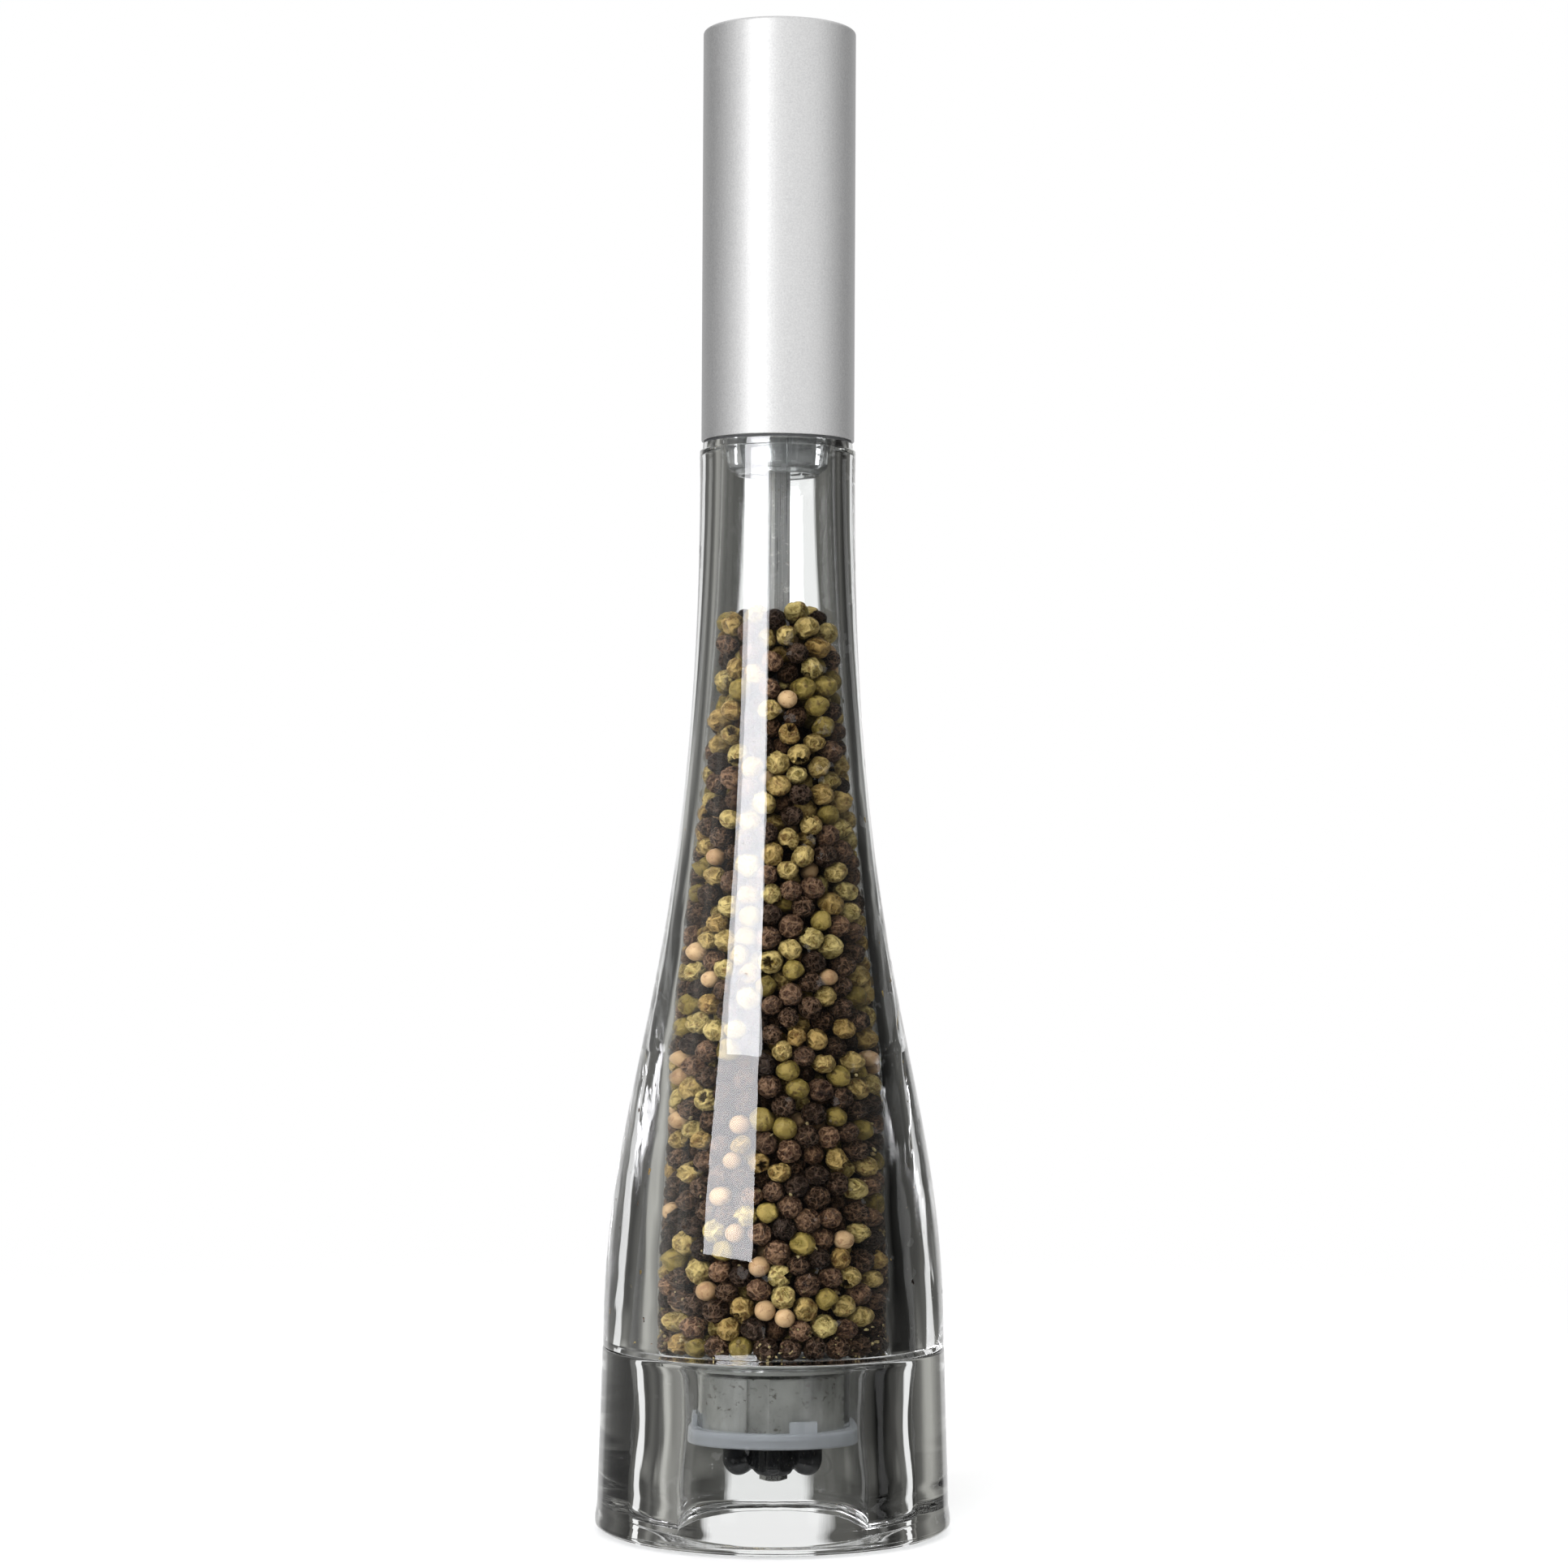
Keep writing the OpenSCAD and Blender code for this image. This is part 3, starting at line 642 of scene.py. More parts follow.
def joined_mesh(name, parts, material):
    """One mesh from many corns. A part is (corners, faces, local places, heights, tone)."""
    sizes = np.array([len(part[0]) for part in parts])
    starts = np.concatenate([[0], np.cumsum(sizes)[:-1]])
    corners = np.concatenate([part[0] for part in parts])
    faces = np.concatenate([part[1] + start for part, start in zip(parts, starts)])
    mesh = bpy.data.meshes.new(name)
    mesh.vertices.add(len(corners))
    mesh.vertices.foreach_set("co", corners.ravel())
    mesh.loops.add(faces.size)
    mesh.loops.foreach_set("vertex_index", faces.ravel().astype(np.int32))
    mesh.polygons.add(len(faces))
    mesh.polygons.foreach_set("loop_start", np.arange(0, faces.size, 3, dtype=np.int32))
    mesh.update(calc_edges=True)
    mesh.polygons.foreach_set("use_smooth", np.ones(len(faces), bool))
    for key, kind, field, values in (
        ("corn_place", "FLOAT_VECTOR", "vector", np.concatenate([part[2] for part in parts]).ravel()),
        ("corn_height", "FLOAT", "value", np.concatenate([part[3] for part in parts])),
        ("corn_shade", "FLOAT", "value", deep_shade(corners / MM)),
        ("corn_tone", "FLOAT", "value", np.repeat([part[4] for part in parts], sizes)),
    ):
        mesh.attributes.new(key, kind, "POINT").data.foreach_set(field, values)
    mesh.materials.append(material)
    return new_object(name, mesh)


CORN_LOOKS = {
    "black": dict(hollow=((0.004, 0.002, 0.001), (0.012, 0.006, 0.003)),
                  ridge=((0.034, 0.02, 0.013), (0.15, 0.084, 0.046)),
                  spots=(0.02, 0.011, 0.007), cells=1.5, relief=1.0, sharp=0.22, spot_share=0.3,
                  bite=(0.2, 0.95)),
    "brown": dict(hollow=((0.014, 0.007, 0.005), (0.045, 0.02, 0.012)),
                  ridge=((0.1, 0.055, 0.03), (0.24, 0.135, 0.072)),
                  spots=(0.012, 0.007, 0.006), cells=1.3, relief=0.9, sharp=0.24, spot_share=0.35,
                  bite=(0.12, 0.95)),
    "green": dict(hollow=((0.07, 0.034, 0.007), (0.15, 0.105, 0.022)),
                  ridge=((0.3, 0.19, 0.056), (0.46, 0.365, 0.135)),
                  spots=(0.11, 0.048, 0.012), cells=0.9, relief=1.0, sharp=0.34, gloss=(0.42, 0.68),
                  spot_share=0.3),
    "olive": dict(hollow=((0.05, 0.036, 0.007), (0.11, 0.085, 0.016)),
                  ridge=((0.15, 0.108, 0.022), (0.3, 0.218, 0.055)),
                  spots=(0.06, 0.034, 0.012), cells=0.7, relief=0.7, sharp=0.45, gloss=(0.34, 0.6),
                  spot_share=0.35),
    "white": dict(hollow=((0.17, 0.088, 0.038), (0.3, 0.17, 0.08)),
                  ridge=((0.27, 0.165, 0.078), (0.45, 0.305, 0.158)),
                  spots=(0.2, 0.1, 0.045), cells=0.8, relief=0.15, sharp=0.6, gloss=(0.4, 0.62),
                  spot_share=0.4),
}


def sorted_by_height(rng, kinds, heights):
    """More dark corns low down and more green ones near the top; the smooth white ones keep their places."""
    rise = np.clip((heights - 50) / 120, 0, 1)[:, None]
    odds = (1 - rise) * np.array(DARK_MIX) + rise * np.array(GREEN_MIX)
    drawn = (rng.uniform(size=(len(kinds), 1)) > np.cumsum(odds, axis=1)).sum(axis=1)
    white = len(DARK_MIX)
    return np.where(kinds == white, white, np.minimum(drawn, white - 1))


def corn_library():
    """The ready-made corn shapes, by kind, number and detail."""
    library = {}
    grids = {detail: sphere_points(detail) for detail in (2, 3, 4)}
    for kind in CORN_KINDS:
        for i in range(SHAPES_PER_KIND):
            seed = [ord(c) for c in kind] + [i]
            for detail, (points, faces) in grids.items():
                corners, net = corn_shape(kind, i, np.random.default_rng(seed), points)
                library[kind, i, detail] = (corners, faces, net, points)
    return library


def in_batches(parts):
    """The parts in runs of at most BATCH_FACES triangles."""
    batches, faces = [[]], 0
    for part in parts:
        if faces + len(part[1]) > BATCH_FACES:
            batches.append([])
            faces = 0
        batches[-1].append(part)
        faces += len(part[1])
    return batches


def peppercorns():
    """Every visible corn as its own closed shape, joined by kind, and the crumbs between them."""
    rng = np.random.default_rng(41)
    names = list(CORN_KINDS)
    shares = np.array([CORN_KINDS[kind][0] for kind in names])
    kinds = rng.choice(len(names), size=CORN_COUNT, p=shares / shares.sum())
    radii = np.array([rng.uniform(*CORN_KINDS[names[k]][1]) for k in kinds])
    centres = pack_corns(rng, radii)
    kept = centres[:, 2] + radii < FILL_TOP + 0.6
    kinds, radii, centres = kinds[kept], radii[kept], centres[kept]
    kinds = sorted_by_height(rng, kinds, centres[:, 2])
    count = len(kinds)
    depth = chamber_radius(centres[:, 2]) - np.hypot(centres[:, 0], centres[:, 1]) - radii
    top = centres[:, 2].max() - 9
    turns = turn_matrices(rng, count)
    library = corn_library()
    pieces = {kind: [] for kind in names}
    for i in range(count):
        kind = names[kinds[i]]
        if centres[i, 2] > top or depth[i] < 1.6:
            detail = 4
        elif depth[i] < 5.5:
            detail = 3
        else:
            detail = 2
        corners, faces, net, points = library[kind, int(rng.integers(SHAPES_PER_KIND)), detail]
        stood = (corners * radii[i]) @ turns[i].T + centres[i]
        pieces[kind].append((stood * MM, faces, points + rng.uniform(-40, 40, 3), net, rng.uniform()))
    body = []
    for kind, parts in pieces.items():
        material = corn_material(f"corn_{kind}", **CORN_LOOKS[kind])
        for number, batch in enumerate(in_batches(parts), 1):
            body.append(joined_mesh(f"corns_{kind}_{number}", batch, material))
    body.append(crumbs(rng))
    for obj in body:
        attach(obj, "mill_body")
    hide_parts("peppercorns")


def crumbs(rng):
    """Flakes and dust of broken corns that cling to the wall of the chamber's cone."""
    points, faces = sphere_points(2)
    parts = []
    for _ in range(420):
        low = rng.uniform() < 0.6
        z = SEAM_Z + (rng.uniform(0.2, 7) if low else rng.uniform(0, 60))
        around = rng.uniform(0, 2 * math.pi)
        size = rng.uniform(0.12, 0.5)
        r = float(chamber_radius(z)) - size * 1.1 - rng.uniform(0, 0.4)
        shape = points * (1 + 0.25 * waves(points, rng, 4, 3.0))[:, None] * rng.uniform(0.35, 1.0, 3)
        stood = shape * size @ turn_matrices(rng, 1)[0].T
        stood = stood + (r * math.cos(around), r * math.sin(around), z)
        parts.append((stood * MM, faces, points + rng.uniform(-40, 40, 3),
                      np.full(len(points), 0.5), rng.uniform()))
    look = dict(hollow=((0.05, 0.03, 0.015), (0.4, 0.3, 0.12)), ridge=((0.09, 0.05, 0.02), (0.6, 0.5, 0.26)),
                spots=(0.3, 0.26, 0.08), gloss=(0.6, 0.8), spot_share=0.3)
    return joined_mesh("pepper_crumbs", parts, corn_material("corn_crumbs", **look))


# ---------------------------------------------------------------- clear shells

def mark_inner(obj, radius_at):
    """Marks the moulded inner wall, wavier than the polished outside, up to a fade above the kink."""
    reach, fade = 0.8, (KINK_Z + 30, KINK_Z + 70)
    places = np.empty(len(obj.data.vertices) * 3)
    obj.data.vertices.foreach_get("co", places)
    places = places.reshape(-1, 3) / MM
    inner = np.hypot(places[:, 0], places[:, 1]) < radius_at(places[:, 2]) + reach
    level = (inner * np.interp(places[:, 2], fade, (1, 0))).astype(np.float32)
    obj.data.attributes.new("inner", "FLOAT", "POINT").data.foreach_set("value", level)


def bottle(material):
    """The bottle: a stepped rim, a flared outside, and the chamber with its kink."""
    shoulder_z = RIM_Z - 1.6
    outside = cubic((NECK_R - 0.1, shoulder_z - 7), (NECK_R - 0.1, shoulder_z - 119),
                    (BELLY_R, SEAM_Z + 60.2), (BELLY_R, SEAM_Z + 0.8), 140)
    seam = SEAM_Z + AIR_GAP
    profile = (
        [(NECK_BORE_R + 0.25, RIM_Z), (NECK_R - 0.9, RIM_Z), (NECK_R - 0.72, RIM_Z - 0.08),
         (NECK_R - 0.65, RIM_Z - 0.25), (NECK_R - 0.65, shoulder_z + 0.15), (NECK_R - 0.55, shoulder_z)]
        + arc((NECK_R - 0.3, shoulder_z - 0.3), 0.3, 90, 0, 5)
        + line((NECK_R, shoulder_z - 1), (NECK_R - 0.1, shoulder_z - 6.9), 5)
        + outside
        + arc((BELLY_R - 0.3, seam + 0.3), 0.3, 0, -90, 5)
        + line((BELLY_R - 1.5, seam), (CHAMBER_FOOT_R + 0.6, seam), 6)
        + [(CHAMBER_FOOT_R + 0.05, seam + 0.12)]
        + line((CHAMBER_FOOT_R - 0.02, seam + 0.6), (KINK_R + 0.004, KINK_Z - 0.1), 40)
        + flare(130)[:-1]
        + [(NECK_BORE_R, RIM_Z - 0.25)]
    )
    obj = lathe("bottle_shell", profile, material)
    mark_inner(obj, chamber_radius)
    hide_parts("bottle")
    return obj


def base(material):
    """The base: a rounded foot, the bay with its waist, and the web above it."""
    web_z = SEAM_Z - WEB_T
    waist = cubic((BORE_R + 0.4, 9.0), (BORE_R + 0.4, BORE_STEP_Z + 1.5),
                  (BORE_R - 1.4, BORE_STEP_Z + 6), (BORE_R + 0.4, web_z - 1.6), 48)
    top = SEAM_Z - AIR_GAP
    profile = (
        [(HOUSING_R + 0.12, top)]
        + line((HOUSING_R + 1, top), (BASE_TOP_R - 0.7, top), 12)
        + arc((BASE_TOP_R - 0.55, top - 0.55), 0.55, 84, 4, 7)
        + line((BASE_TOP_R + 0.01, top - 1.1), (FOOT_R - 0.45, 6.5), 20)
        + cubic((FOOT_R - 0.43, 5.9), (FOOT_R - 0.38, 4.6), (FOOT_R - 0.1, 4.0), (FOOT_R - 0.02, 2.6), 8)
        + arc((FOOT_R - 1.3, 1.9), 1.3, 8, -88, 10)
        + [(FOOT_R - 1.5, 0.3), (FOOT_R - 2.2, 0.0)]
        + line((FOOT_R - 3, 0.0), (BORE_R + 0.75, 0.0), 6)
        + arc((BORE_R + 0.75, 0.35), 0.35, -100, -180, 5)
        + line((BORE_R + 0.4, 0.8), (BORE_R + 0.4, 9.0), 6)
        + waist[1:]
        + arc((BORE_R - 0.6, web_z - 1), 1, 4, 90, 8)
        + line((BORE_R - 1, web_z), (HOUSING_R + 0.12, web_z), 4)
    )
    obj = lathe("base_block", profile, material)
    mark_inner(obj, lambda z: np.full(len(z), BORE_R))
    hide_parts("base_ring")
    return obj


def housing(material):
    """The tapered cup with its flange and the keys inside it."""
    keys = (KEY_AT, 4, math.degrees(4.2 / BURR_R))
    air = 0.08

    def outline(theta):
        inner = BURR_R - 0.85 if inside_feature(theta, *keys) else BURR_R + 0.07
        return (
            [(GUIDE_R + air, SEAM_Z + 1), (20.0, SEAM_Z + 1), (20.22, SEAM_Z + 0.9), (20.3, SEAM_Z + 0.7),
             (20.3, SEAM_Z + 0.06), (HOUSING_R + 0.3, SEAM_Z + 0.06), (HOUSING_R - 0.02, SEAM_Z - 0.3)]
            + line((HOUSING_R - 0.02, SEAM_Z - WEB_T), (HOUSING_FOOT_R - 0.02, RING_TOP_Z), 14)
            + line((HOUSING_FOOT_R - 0.02, RING_TOP_Z - 0.3), (HOUSING_FOOT_R - 0.02, BURR_FOOT_Z), 2)
            + line((inner, BURR_FOOT_Z), (inner, BURR_TOP_Z + 0.08), 8)
            + [(14.4, BURR_TOP_Z + 0.08), (14.4, GUIDE_Z - 0.08), (GUIDE_R + air, GUIDE_Z - 0.08)]
        )

    obj = lathe("housing_shell", outline, material, thetas=stepped_thetas(*keys))
    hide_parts("grinder_housing")
    return obj


def retaining_ring(material):
    """The milky ring with its four latch tabs."""
    tabs = (TAB_AT, 4, math.degrees(5.2 / 17.8))
    air = 0.1

    def outline(theta):
        tab = 2.4 if inside_feature(theta, *tabs) else 0.0
        return (
            [(HOUSING_FOOT_R + 0.35, RING_TOP_Z), (HOUSING_FOOT_R + 0.36, RING_TOP_Z + tab),
             (RING_R - 0.62, RING_TOP_Z + tab), (RING_R - 0.6, RING_TOP_Z)]
            + arc((RING_R - 0.6, RING_TOP_Z - 0.6), 0.6, 80, 0, 6)
            + line((RING_R, RING_TOP_Z - 1), (RING_R, RING_FOOT_Z + 0.6), 4)
            + arc((RING_R - 0.6, RING_FOOT_Z + 0.6), 0.6, -5, -90, 6)
            + line((RING_R - 1, RING_FOOT_Z), (12.6, RING_FOOT_Z), 4)
            + [(12.25, RING_FOOT_Z + 0.15), (12.2, RING_FOOT_Z + 0.4), (12.2, BURR_FOOT_Z - 0.06),
               (HOUSING_FOOT_R + air, BURR_FOOT_Z - 0.06), (HOUSING_FOOT_R + air, RING_TOP_Z)]
        )

    obj = lathe("retaining_ring", outline, material, thetas=stepped_thetas(*tabs))
    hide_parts("housing_ring")
    return obj


def head_shell(material):
    """The head: a plain sleeve with a closed, rounded top."""
    edge, wall = 0.8, 1.0
    inner = HEAD_R - wall
    profile = (
        [(0.0, TOP_Z - wall), (0.0, TOP_Z)]
        + line((2.0, TOP_Z), (HEAD_R - edge - 0.4, TOP_Z), 8)
        + arc((HEAD_R - edge, TOP_Z - edge), edge, 90, 0, 12)
        + line((HEAD_R, TOP_Z - edge - 1), (HEAD_R, HEAD_Z + 1.2), 44)
        + arc((HEAD_R - 0.25, HEAD_Z + 0.25), 0.25, 0, -90, 6)
        + [(inner + 0.2, HEAD_Z), (inner, HEAD_Z + 0.2), (inner, TOP_Z - wall)]
    )
    obj = lathe("head_shell", profile, material, angle=32)
    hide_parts("head_sleeve")
    return obj


def soft_knob(material):
    """The knob as one moulding, its wings, ribs and hub blended into each other."""
    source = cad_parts["adjusting_knob"]
    obj = new_object("knob_moulding", source.data.copy())
    remesh = obj.modifiers.new("remesh", "REMESH")
    remesh.mode = "VOXEL"
    remesh.voxel_size = 0.22 * MM
    remesh.use_smooth_shade = True
    smooth = obj.modifiers.new("smooth", "SMOOTH")
    smooth.factor = 0.5
    smooth.iterations = 6
    depsgraph = bpy.context.evaluated_depsgraph_get()
    mesh = bpy.data.meshes.new_from_object(obj.evaluated_get(depsgraph))
    obj.modifiers.clear()
    obj.data = mesh
    mesh.materials.clear()
    mesh.materials.append(material)
    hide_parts("adjusting_knob")
    return obj


def crown(material):
    """The crown of tapered fingers under the head, with its plate, hub and webs."""
    crown_r, plate_z, plate_t = 11.8, HEAD_Z + 0.5, 2.0
    ring_foot, foot = CROWN_FOOT_Z, CROWN_FOOT_Z + 1
    ring_out = crown_r - 2.4
    slots = (SLOT_AT, 8, math.degrees(1.3 / 10.6))
    core_r = HEAD_R - 1.1

    def outline(theta):
        fingers = (
            [(crown_r, plate_z - 0.02), (crown_r, plate_z - 1.5), (crown_r - 0.75, foot + 1.4)]
            + arc((crown_r - 1.95, foot + 1.3), 1.3, -10, -85, 6)
            + [(ring_out + 0.12, foot)]
        )
        if inside_feature(theta, *slots):
            fingers = [(ring_out + 0.12, max(z, foot)) for _r, z in fingers]
            fingers[0] = (ring_out + 0.12, plate_z - 0.75)
        return (
            [(core_r, plate_z), (crown_r + 0.1, plate_z)] + fingers
            + [(ring_out, foot - 0.02), (ring_out, ring_foot + 0.25), (ring_out - 0.2, ring_foot),
               (ring_out - 1.2, ring_foot), (ring_out - 1.4, ring_foot + 0.2),
               (ring_out - 1.4, plate_z - 0.02), (4.6, plate_z - 0.02), (4.6, foot + 1.8),
               (4.4, foot + 1.6), (3.1, foot + 1.6), (3.1, plate_z + plate_t), (core_r, plate_z + plate_t)]
        )

    obj = lathe("crown_plug", outline, material, thetas=stepped_thetas(*slots))
    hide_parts("drive_plug")
    return obj


def squeezed_spring():
    """The coil under the shaft's clip, as its own piece: a copy of the CAD spring's mesh."""
    obj = new_object("spring_coil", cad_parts["burr_spring"].data.copy())
    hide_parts("burr_spring")
    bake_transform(obj)


def dress(names, material):
    """Gives CAD nodes that material."""
    for name in names:
        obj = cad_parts[name]
        obj.data.materials.clear()
        obj.data.materials.append(material)


# ---------------------------------------------------------------- world, floor, lamps, camera

# Brightness of the surroundings by degrees round from straight behind, left negative. Through the glass the
# light from above, from level and from below has a table each, and so has the light off the table in front.
FAR_LEFT = ((-180, 0.015), (-130, 0.02), (-120, 0.2), (-96, 0.2), (-94, 0.5), (-86, 0.5))
FLAGS_TOP = (*FAR_LEFT, (-84, 0.15), (-75, 0.2), (-62, 0.25), (-52, 0.3), (-46, 0.12), (-40, 0.07),
             (-33, 0.18), (-28, 0.2), (-21, 0.1), (-14, 0.07), (-7.8, 0.08), (-7, 1.0), (8.6, 1.0),
             (9.4, 0.1), (15, 0.14), (20, 0.1), (27, 0.05), (34, 0.02), (43, 0.03), (52, 0.1), (60, 0.05),
             (66, 0.08), (90, 0.1), (120, 0.015), (180, 0.015))
FLAGS_HIGH = (*FAR_LEFT, (-84, 0.16), (-62, 0.27), (-57, 0.34), (-53, 0.44), (-48, 0.4), (-45, 0.3),
              (-41, 0.06), (-36, 0.04), (-31, 0.09), (-27, 0.17), (-23, 0.3), (-19, 0.37), (-13, 0.27),
              (-8.6, 0.3), (-7.4, 1.0), (7.6, 1.0), (8.8, 0.28), (12, 0.12), (17, 0.1), (21, 0.2), (25, 0.25),
              (29, 0.1), (36, 0.01), (60, 0.01), (66, 0.08), (180, 0.015))
FLAGS_LOW = (*FAR_LEFT, (-84, 0.18), (-75, 0.24), (-65, 0.2), (-60, 0.3), (-55, 0.45), (-50, 0.4),
             (-46, 0.12), (-40, 0.05), (-30, 0.1), (-24, 0.07), (-19, 0.04), (-13, 0.06), (-10.5, 0.1),
             (-9.5, 0.9), (6.5, 0.9), (7.8, 0.1), (14, 0.1), (20, 0.06), (36, 0.04), (44, 0.01), (58, 0.0),
             (66, 0.04), (90, 0.1), (120, 0.015), (180, 0.015))
FRONT_RIGHT = ((90, 0.12), (110, 0.3), (126, 0.1), (127, 0.9), (144, 0.9), (145, 0.1), (160, 0.35),
               (180, 0.1))
FLAGS_FRONT = (*((-a, v) for a, v in reversed(FRONT_RIGHT)), *FRONT_RIGHT)
GLASS_TINT = (1.03, 1.022, 0.955)
# The same for sharp reflections.
SHINE = ((-180, 0.015), (-132, 0.02), (-122, 0.4), (-95, 0.45), (-80, 0.3), (-62, 0.25), (-46, 0.3),
         (-34, 0.4), (-28, 1.0), (26, 1.0), (32, 0.15), (58, 0.06), (90, 0.05), (120, 0.015), (180, 0.015))
# Brightness of the room in soft reflections, by the cosine from straight in front.
ROOM = ((-1.0, 0.65), (-0.8, 0.45), (-0.5, 0.27), (0.0, 0.52), (0.5, 0.92), (1.0, 1.0))
# Heights, from -1 straight down to 1 straight up, between which one brightness turns into the next.
LOW_TO_HIGH, HIGH_TO_TOP = (-0.12, 0.02), (0.05, 0.09)
TOP_TO_CEILING, LOW_TO_TABLE = (0.45, 0.8), (-0.85, -0.98)
PALE = 0.6      # at and above this level no acrylic tints the light


def tinted(level):
    """The pale parts stay white; what is darker is seen through more acrylic and takes its tint."""
    return tuple(level * (t if level < PALE else 1.0) for t in GLASS_TINT)


def studio_world():
    """White to the camera. Through glass: dark flags round the object, with white gaps between them, and a
    pale table below. In soft reflections: a room that is brighter in front; in sharp ones, dark in front."""
    n = Nodes("studio", world=True)
    x, y, z = n.make("ShaderNodeSeparateXYZ", Vector=n.coords("Generated"))
    azimuth = n.math("ARCTAN2", x, y)
    turn = n.span(azimuth, -math.pi, math.pi, 0.0, 1.0)
    top, high, low, front = (n.ramp(turn, [((a + 180) / 360, tinted(v)) for a, v in table])
                             for table in (FLAGS_TOP, FLAGS_HIGH, FLAGS_LOW, FLAGS_FRONT))
    shade = n.mix(n.span(z, *LOW_TO_HIGH), low, high)
    shade = n.mix(n.span(z, *HIGH_TO_TOP), shade, top)
    in_front = n.math("MULTIPLY", n.span(z, -0.18, -0.24), n.span(y, 0.0, -0.2))
    shade = n.mix(in_front, shade, front)
    shade = n.mix(n.span(z, *TOP_TO_CEILING, smooth=True), shade, (0.75, 0.75, 0.75))
    shade = n.mix(n.span(z, *LOW_TO_TABLE, smooth=True), shade, (0.36, 0.365, 0.36))
    room = n.ramp(n.span(y, -1.0, 1.0, 1.0, 0.0), [((c + 1) / 2, (v, v, v)) for c, v in ROOM])
    room = n.mix(n.span(z, 0.3, 0.95, smooth=True), room, (0.95, 0.95, 0.95))
    sharp = n.ramp(turn, [((a + 180) / 360, (v, v, v)) for a, v in SHINE])
    rays = n.make("ShaderNodeLightPath")
    seen = n.mix(rays["Is Singular Ray"], room, sharp)
    seen = n.mix(rays["Is Transmission Ray"], seen, shade)
    seen = n.mix(rays["Is Camera Ray"], seen, (1.0, 1.0, 1.0))
    SCENE.world = n.output(n.make("ShaderNodeBackground", Color=seen, Strength=1.0)[0])


def pale_floor():
    """A pale floor that fades into the white backdrop."""
    radius, rings, sides = 2.4, 24, 96
    fade_from, fade_to = 0.16, 0.6
    verts, faces = [(0, 0, 0)], []
    for i in range(1, rings + 1):
        r = radius * (i / rings) ** 1.6
        verts += [(r * math.cos(2 * math.pi * k / sides), r * math.sin(2 * math.pi * k / sides), 0)
                  for k in range(sides)]
    for k in range(sides):
        faces.append((0, 1 + k, 1 + (k + 1) % sides))
    for i in range(rings - 1):
        for k in range(sides):
            a, b = 1 + i * sides + k, 1 + i * sides + (k + 1) % sides
            faces.append((a, b, b + sides, a + sides))
    n = Nodes("pale_floor")
    place = n.coords()
    far = n.make("ShaderNodeVectorMath", {"operation": "LENGTH"}, Vector=place)["Value"]
    fade = n.span(far, fade_from, fade_to, 0.12, 1.0, smooth=True)
    tone = n.mix(n.noise(place, 8, 3.0), (0.86, 0.86, 0.855), (0.9, 0.9, 0.9))
    card = n.surface(Base_Color=tone, Roughness=0.75, Normal=n.bump(n.noise(place, 500, 2.0), 0.05, 0.0003))
    clear = n.make("ShaderNodeBsdfTransparent")[0]
    obj = mesh_from("floor", verts, faces, n.output(n.mix_shaders(fade, card, clear)))
    obj.location.z = -0.0003
    obj.visible_transmission = False
    obj.visible_glossy = False


def lamp(name, at, aim, size, power, colour=(1, 1, 1), glint=False, linked=(), through=False):
    """A rectangular soft lamp at a place, turned to a point. A glint is only seen in reflections."""
    data = bpy.data.lights.new(name, "AREA")
    data.shape = "RECTANGLE"
    data.size, data.size_y = size
    data.energy = power
    data.color = colour
    obj = bpy.data.objects.new(name, data)
    SCENE.collection.objects.link(obj)
    obj.location = at
    obj.rotation_euler = (Vector(aim) - Vector(at)).to_track_quat("-Z", "Y").to_euler()
    obj.visible_glossy = glint
    obj.visible_diffuse = not glint
    obj.visible_transmission = through
    obj.visible_camera = False
    if linked:
        group = bpy.data.collections.new(f"{name}_receivers")
        for part in linked:
            group.objects.link(part)
        obj.light_linking.receiver_collection = group


def lamps(shell, metal):
    """A tall softbox at the front left, seen as a strip in the clear shells, and weaker lamps round about."""
    turn, aim = math.radians(31.5), (0, 0, 0.5)
    lilac = (0.97, 0.965, 1.0)

    def front_left(far, height=0.59):
        return (-math.sin(turn) * far, -math.cos(turn) * far, height)

    lamp("softbox", front_left(0.87), aim, (0.55, 1.0), 10.5, lilac)
    lamp("softbox_strip", front_left(0.85, 0.6075), aim, (0.56, 0.965), 20, lilac, glint=True,
         linked=[shell], through=True)
    lamp("softbox_sheen", front_left(0.86), aim, (0.5, 1.2), 2.0, glint=True, linked=metal)
    lamp("fill", (0.9, -0.7, 0.5), (0, 0, 0.15), (0.7, 0.9), 0.9)
    lamp("over", (0.0, -0.1, 1.3), (0, 0, 0.1), (0.9, 0.9), 3)
    lamp("behind", (0.3, 1.2, 0.7), (0, 0, 0.15), (0.9, 0.9), 8)


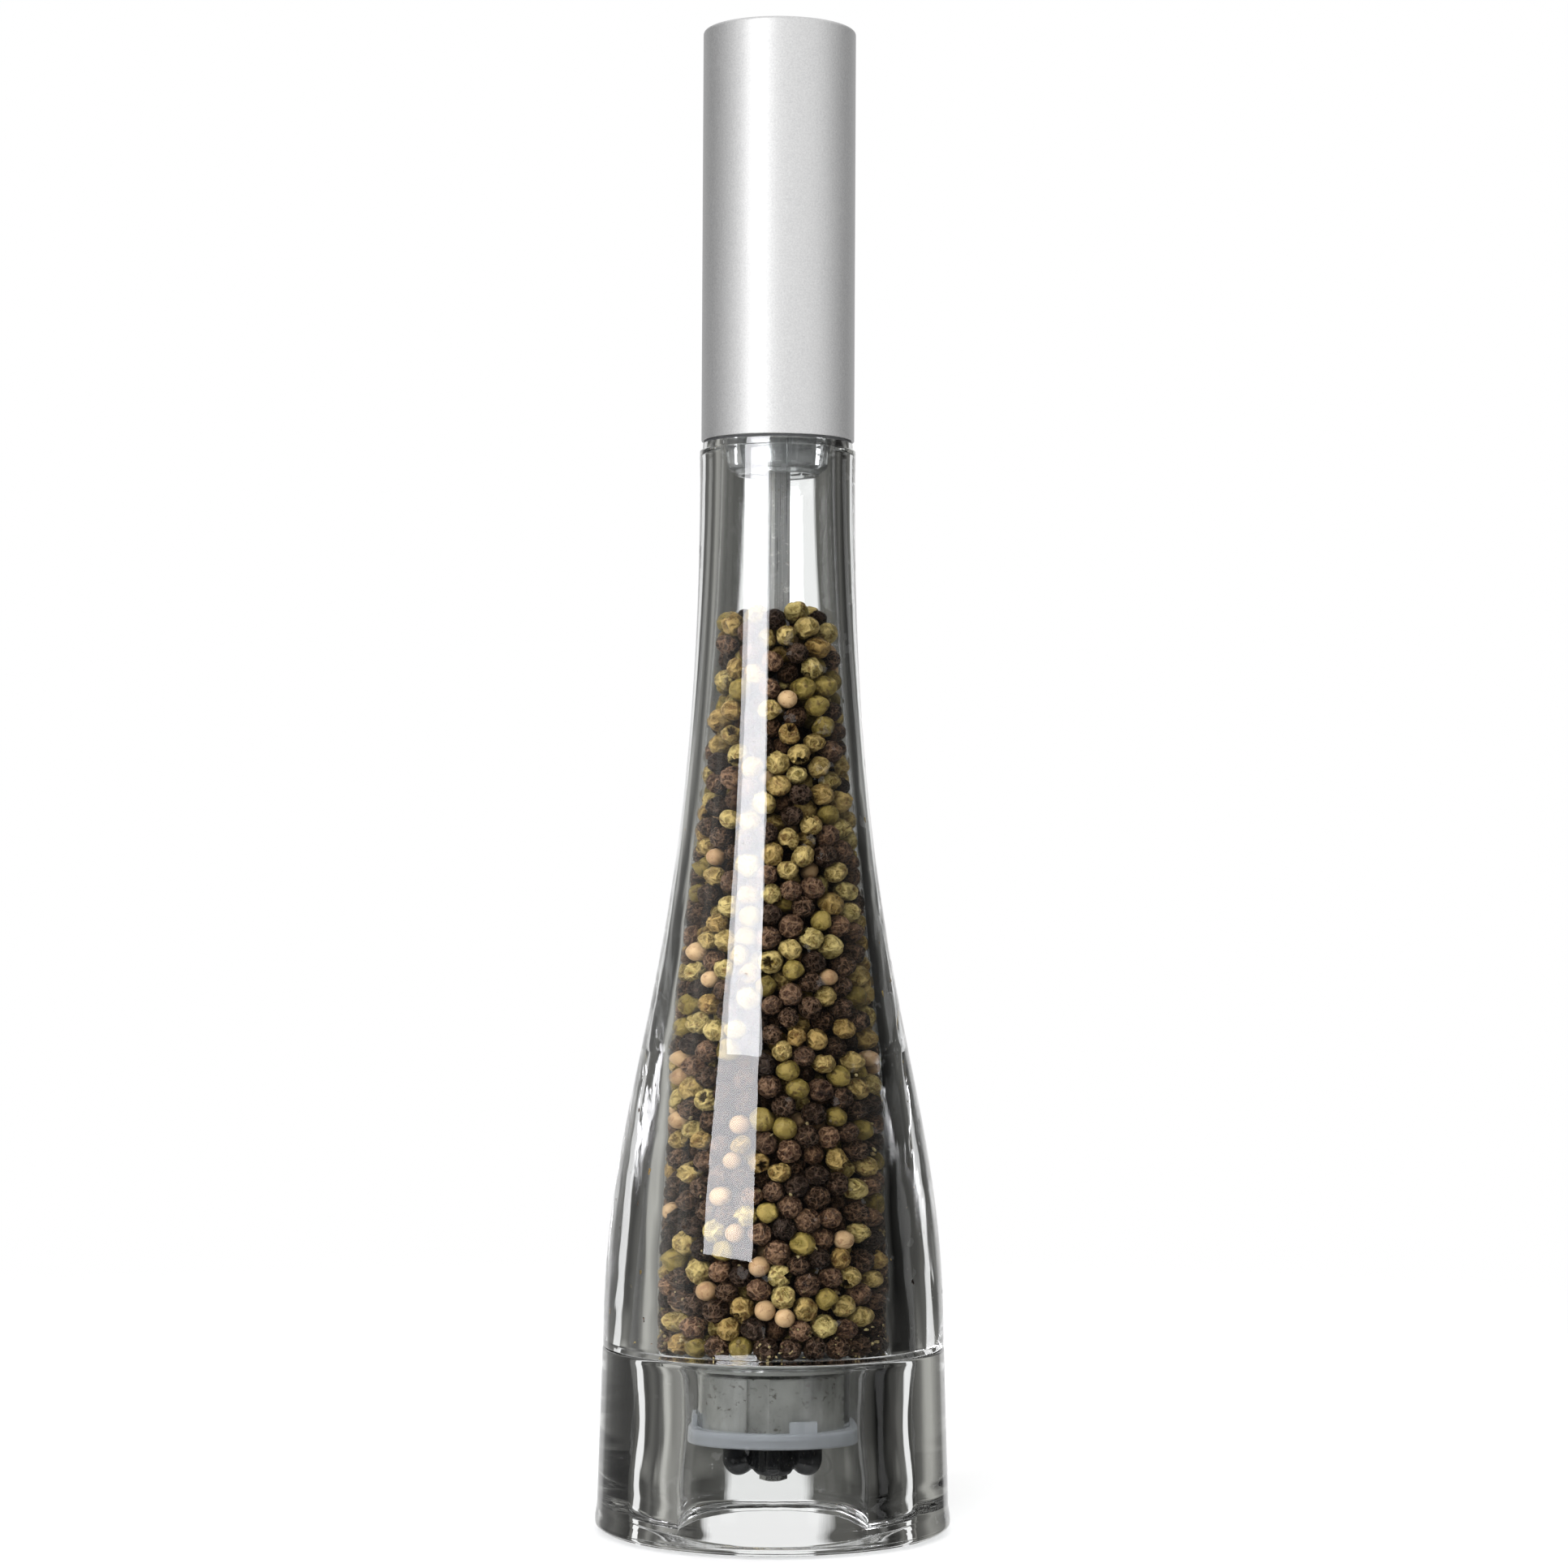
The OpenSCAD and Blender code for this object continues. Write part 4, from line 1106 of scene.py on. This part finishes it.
def camera():
    """The photograph's camera: level with the lower third of the mill, turned up a little."""
    data = bpy.data.cameras.new("camera")
    data.sensor_width = 36.0
    data.lens = 86.46
    data.clip_start = 0.01
    obj = bpy.data.objects.new("camera", data)
    SCENE.collection.objects.link(obj)
    distance, height = 0.831, 0.1423
    tilt, yaw, roll = math.radians(1.444), math.radians(0.12), math.radians(0.28)
    turn = (Matrix.Rotation(-yaw, 4, "Z") @ Matrix.Rotation(math.radians(90) + tilt, 4, "X")
            @ Matrix.Rotation(roll, 4, "Z"))
    obj.matrix_world = Matrix.Translation((0, -distance, height)) @ turn
    SCENE.camera = obj


def build():
    """The whole mill, each piece on its body."""
    acrylic = clear_acrylic()
    steel = sintered_steel()
    sprung = fine_metal("spring_steel", (0.5, 0.5, 0.5), (0.68, 0.68, 0.67), (0.2, 0.34), 0.1, 1800, 3.0)
    brass = fine_metal("turned_brass", (0.6, 0.42, 0.18), (0.78, 0.6, 0.3), (0.22, 0.36), 0.15, 1.0, 2.0,
                       (60, 60, 4000))
    nylon = matt_moulding("natural_nylon", (0.74, 0.73, 0.69), (0.86, 0.85, 0.81))
    shells = [bottle(acrylic), base(acrylic)]
    for obj in (*shells, housing(clear_moulding("clear_cup", 1.0)), retaining_ring(milky_moulding())):
        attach(obj, "mill_body")
    head = head_shell(satin_aluminium())
    for obj in (head, crown(clear_moulding("clear_crown", 0.93, (0.74, 0.75, 0.75)))):
        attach(obj, "head")
    knob = soft_knob(black_moulding())
    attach(knob, "knob")
    dress(["outer_burr", "inner_burr"], steel)
    dress(["shaft_clips", "burr_spring", "thrust_washer", "lock_nut", "plug_screws", "socket_clip"], sprung)
    squeezed_spring()
    dress(["shaft_guide", "guide_bush", "shaft_socket"], nylon)
    dress(["head_core"], matt_moulding("grey_moulding", (0.3, 0.31, 0.32), (0.42, 0.43, 0.44)))
    # The washer's dark colour is partly its own and partly painted shade for the shadow gap under the head.
    dress(["slip_ring"], matt_moulding("dark_washer", (0.03, 0.031, 0.033), (0.06, 0.061, 0.064)))
    dress(["knob_insert"], brass)
    dress(["drive_shaft"], bright_bar())
    peppercorns()
    lamps(shells[0], [head, knob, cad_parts["outer_burr"]])


build()
studio_world()
pale_floor()
camera()
SCENE.view_settings.view_transform = "Standard"
SCENE.cycles.max_bounces = 20
SCENE.cycles.glossy_bounces = 14
SCENE.cycles.transmission_bounces = 16
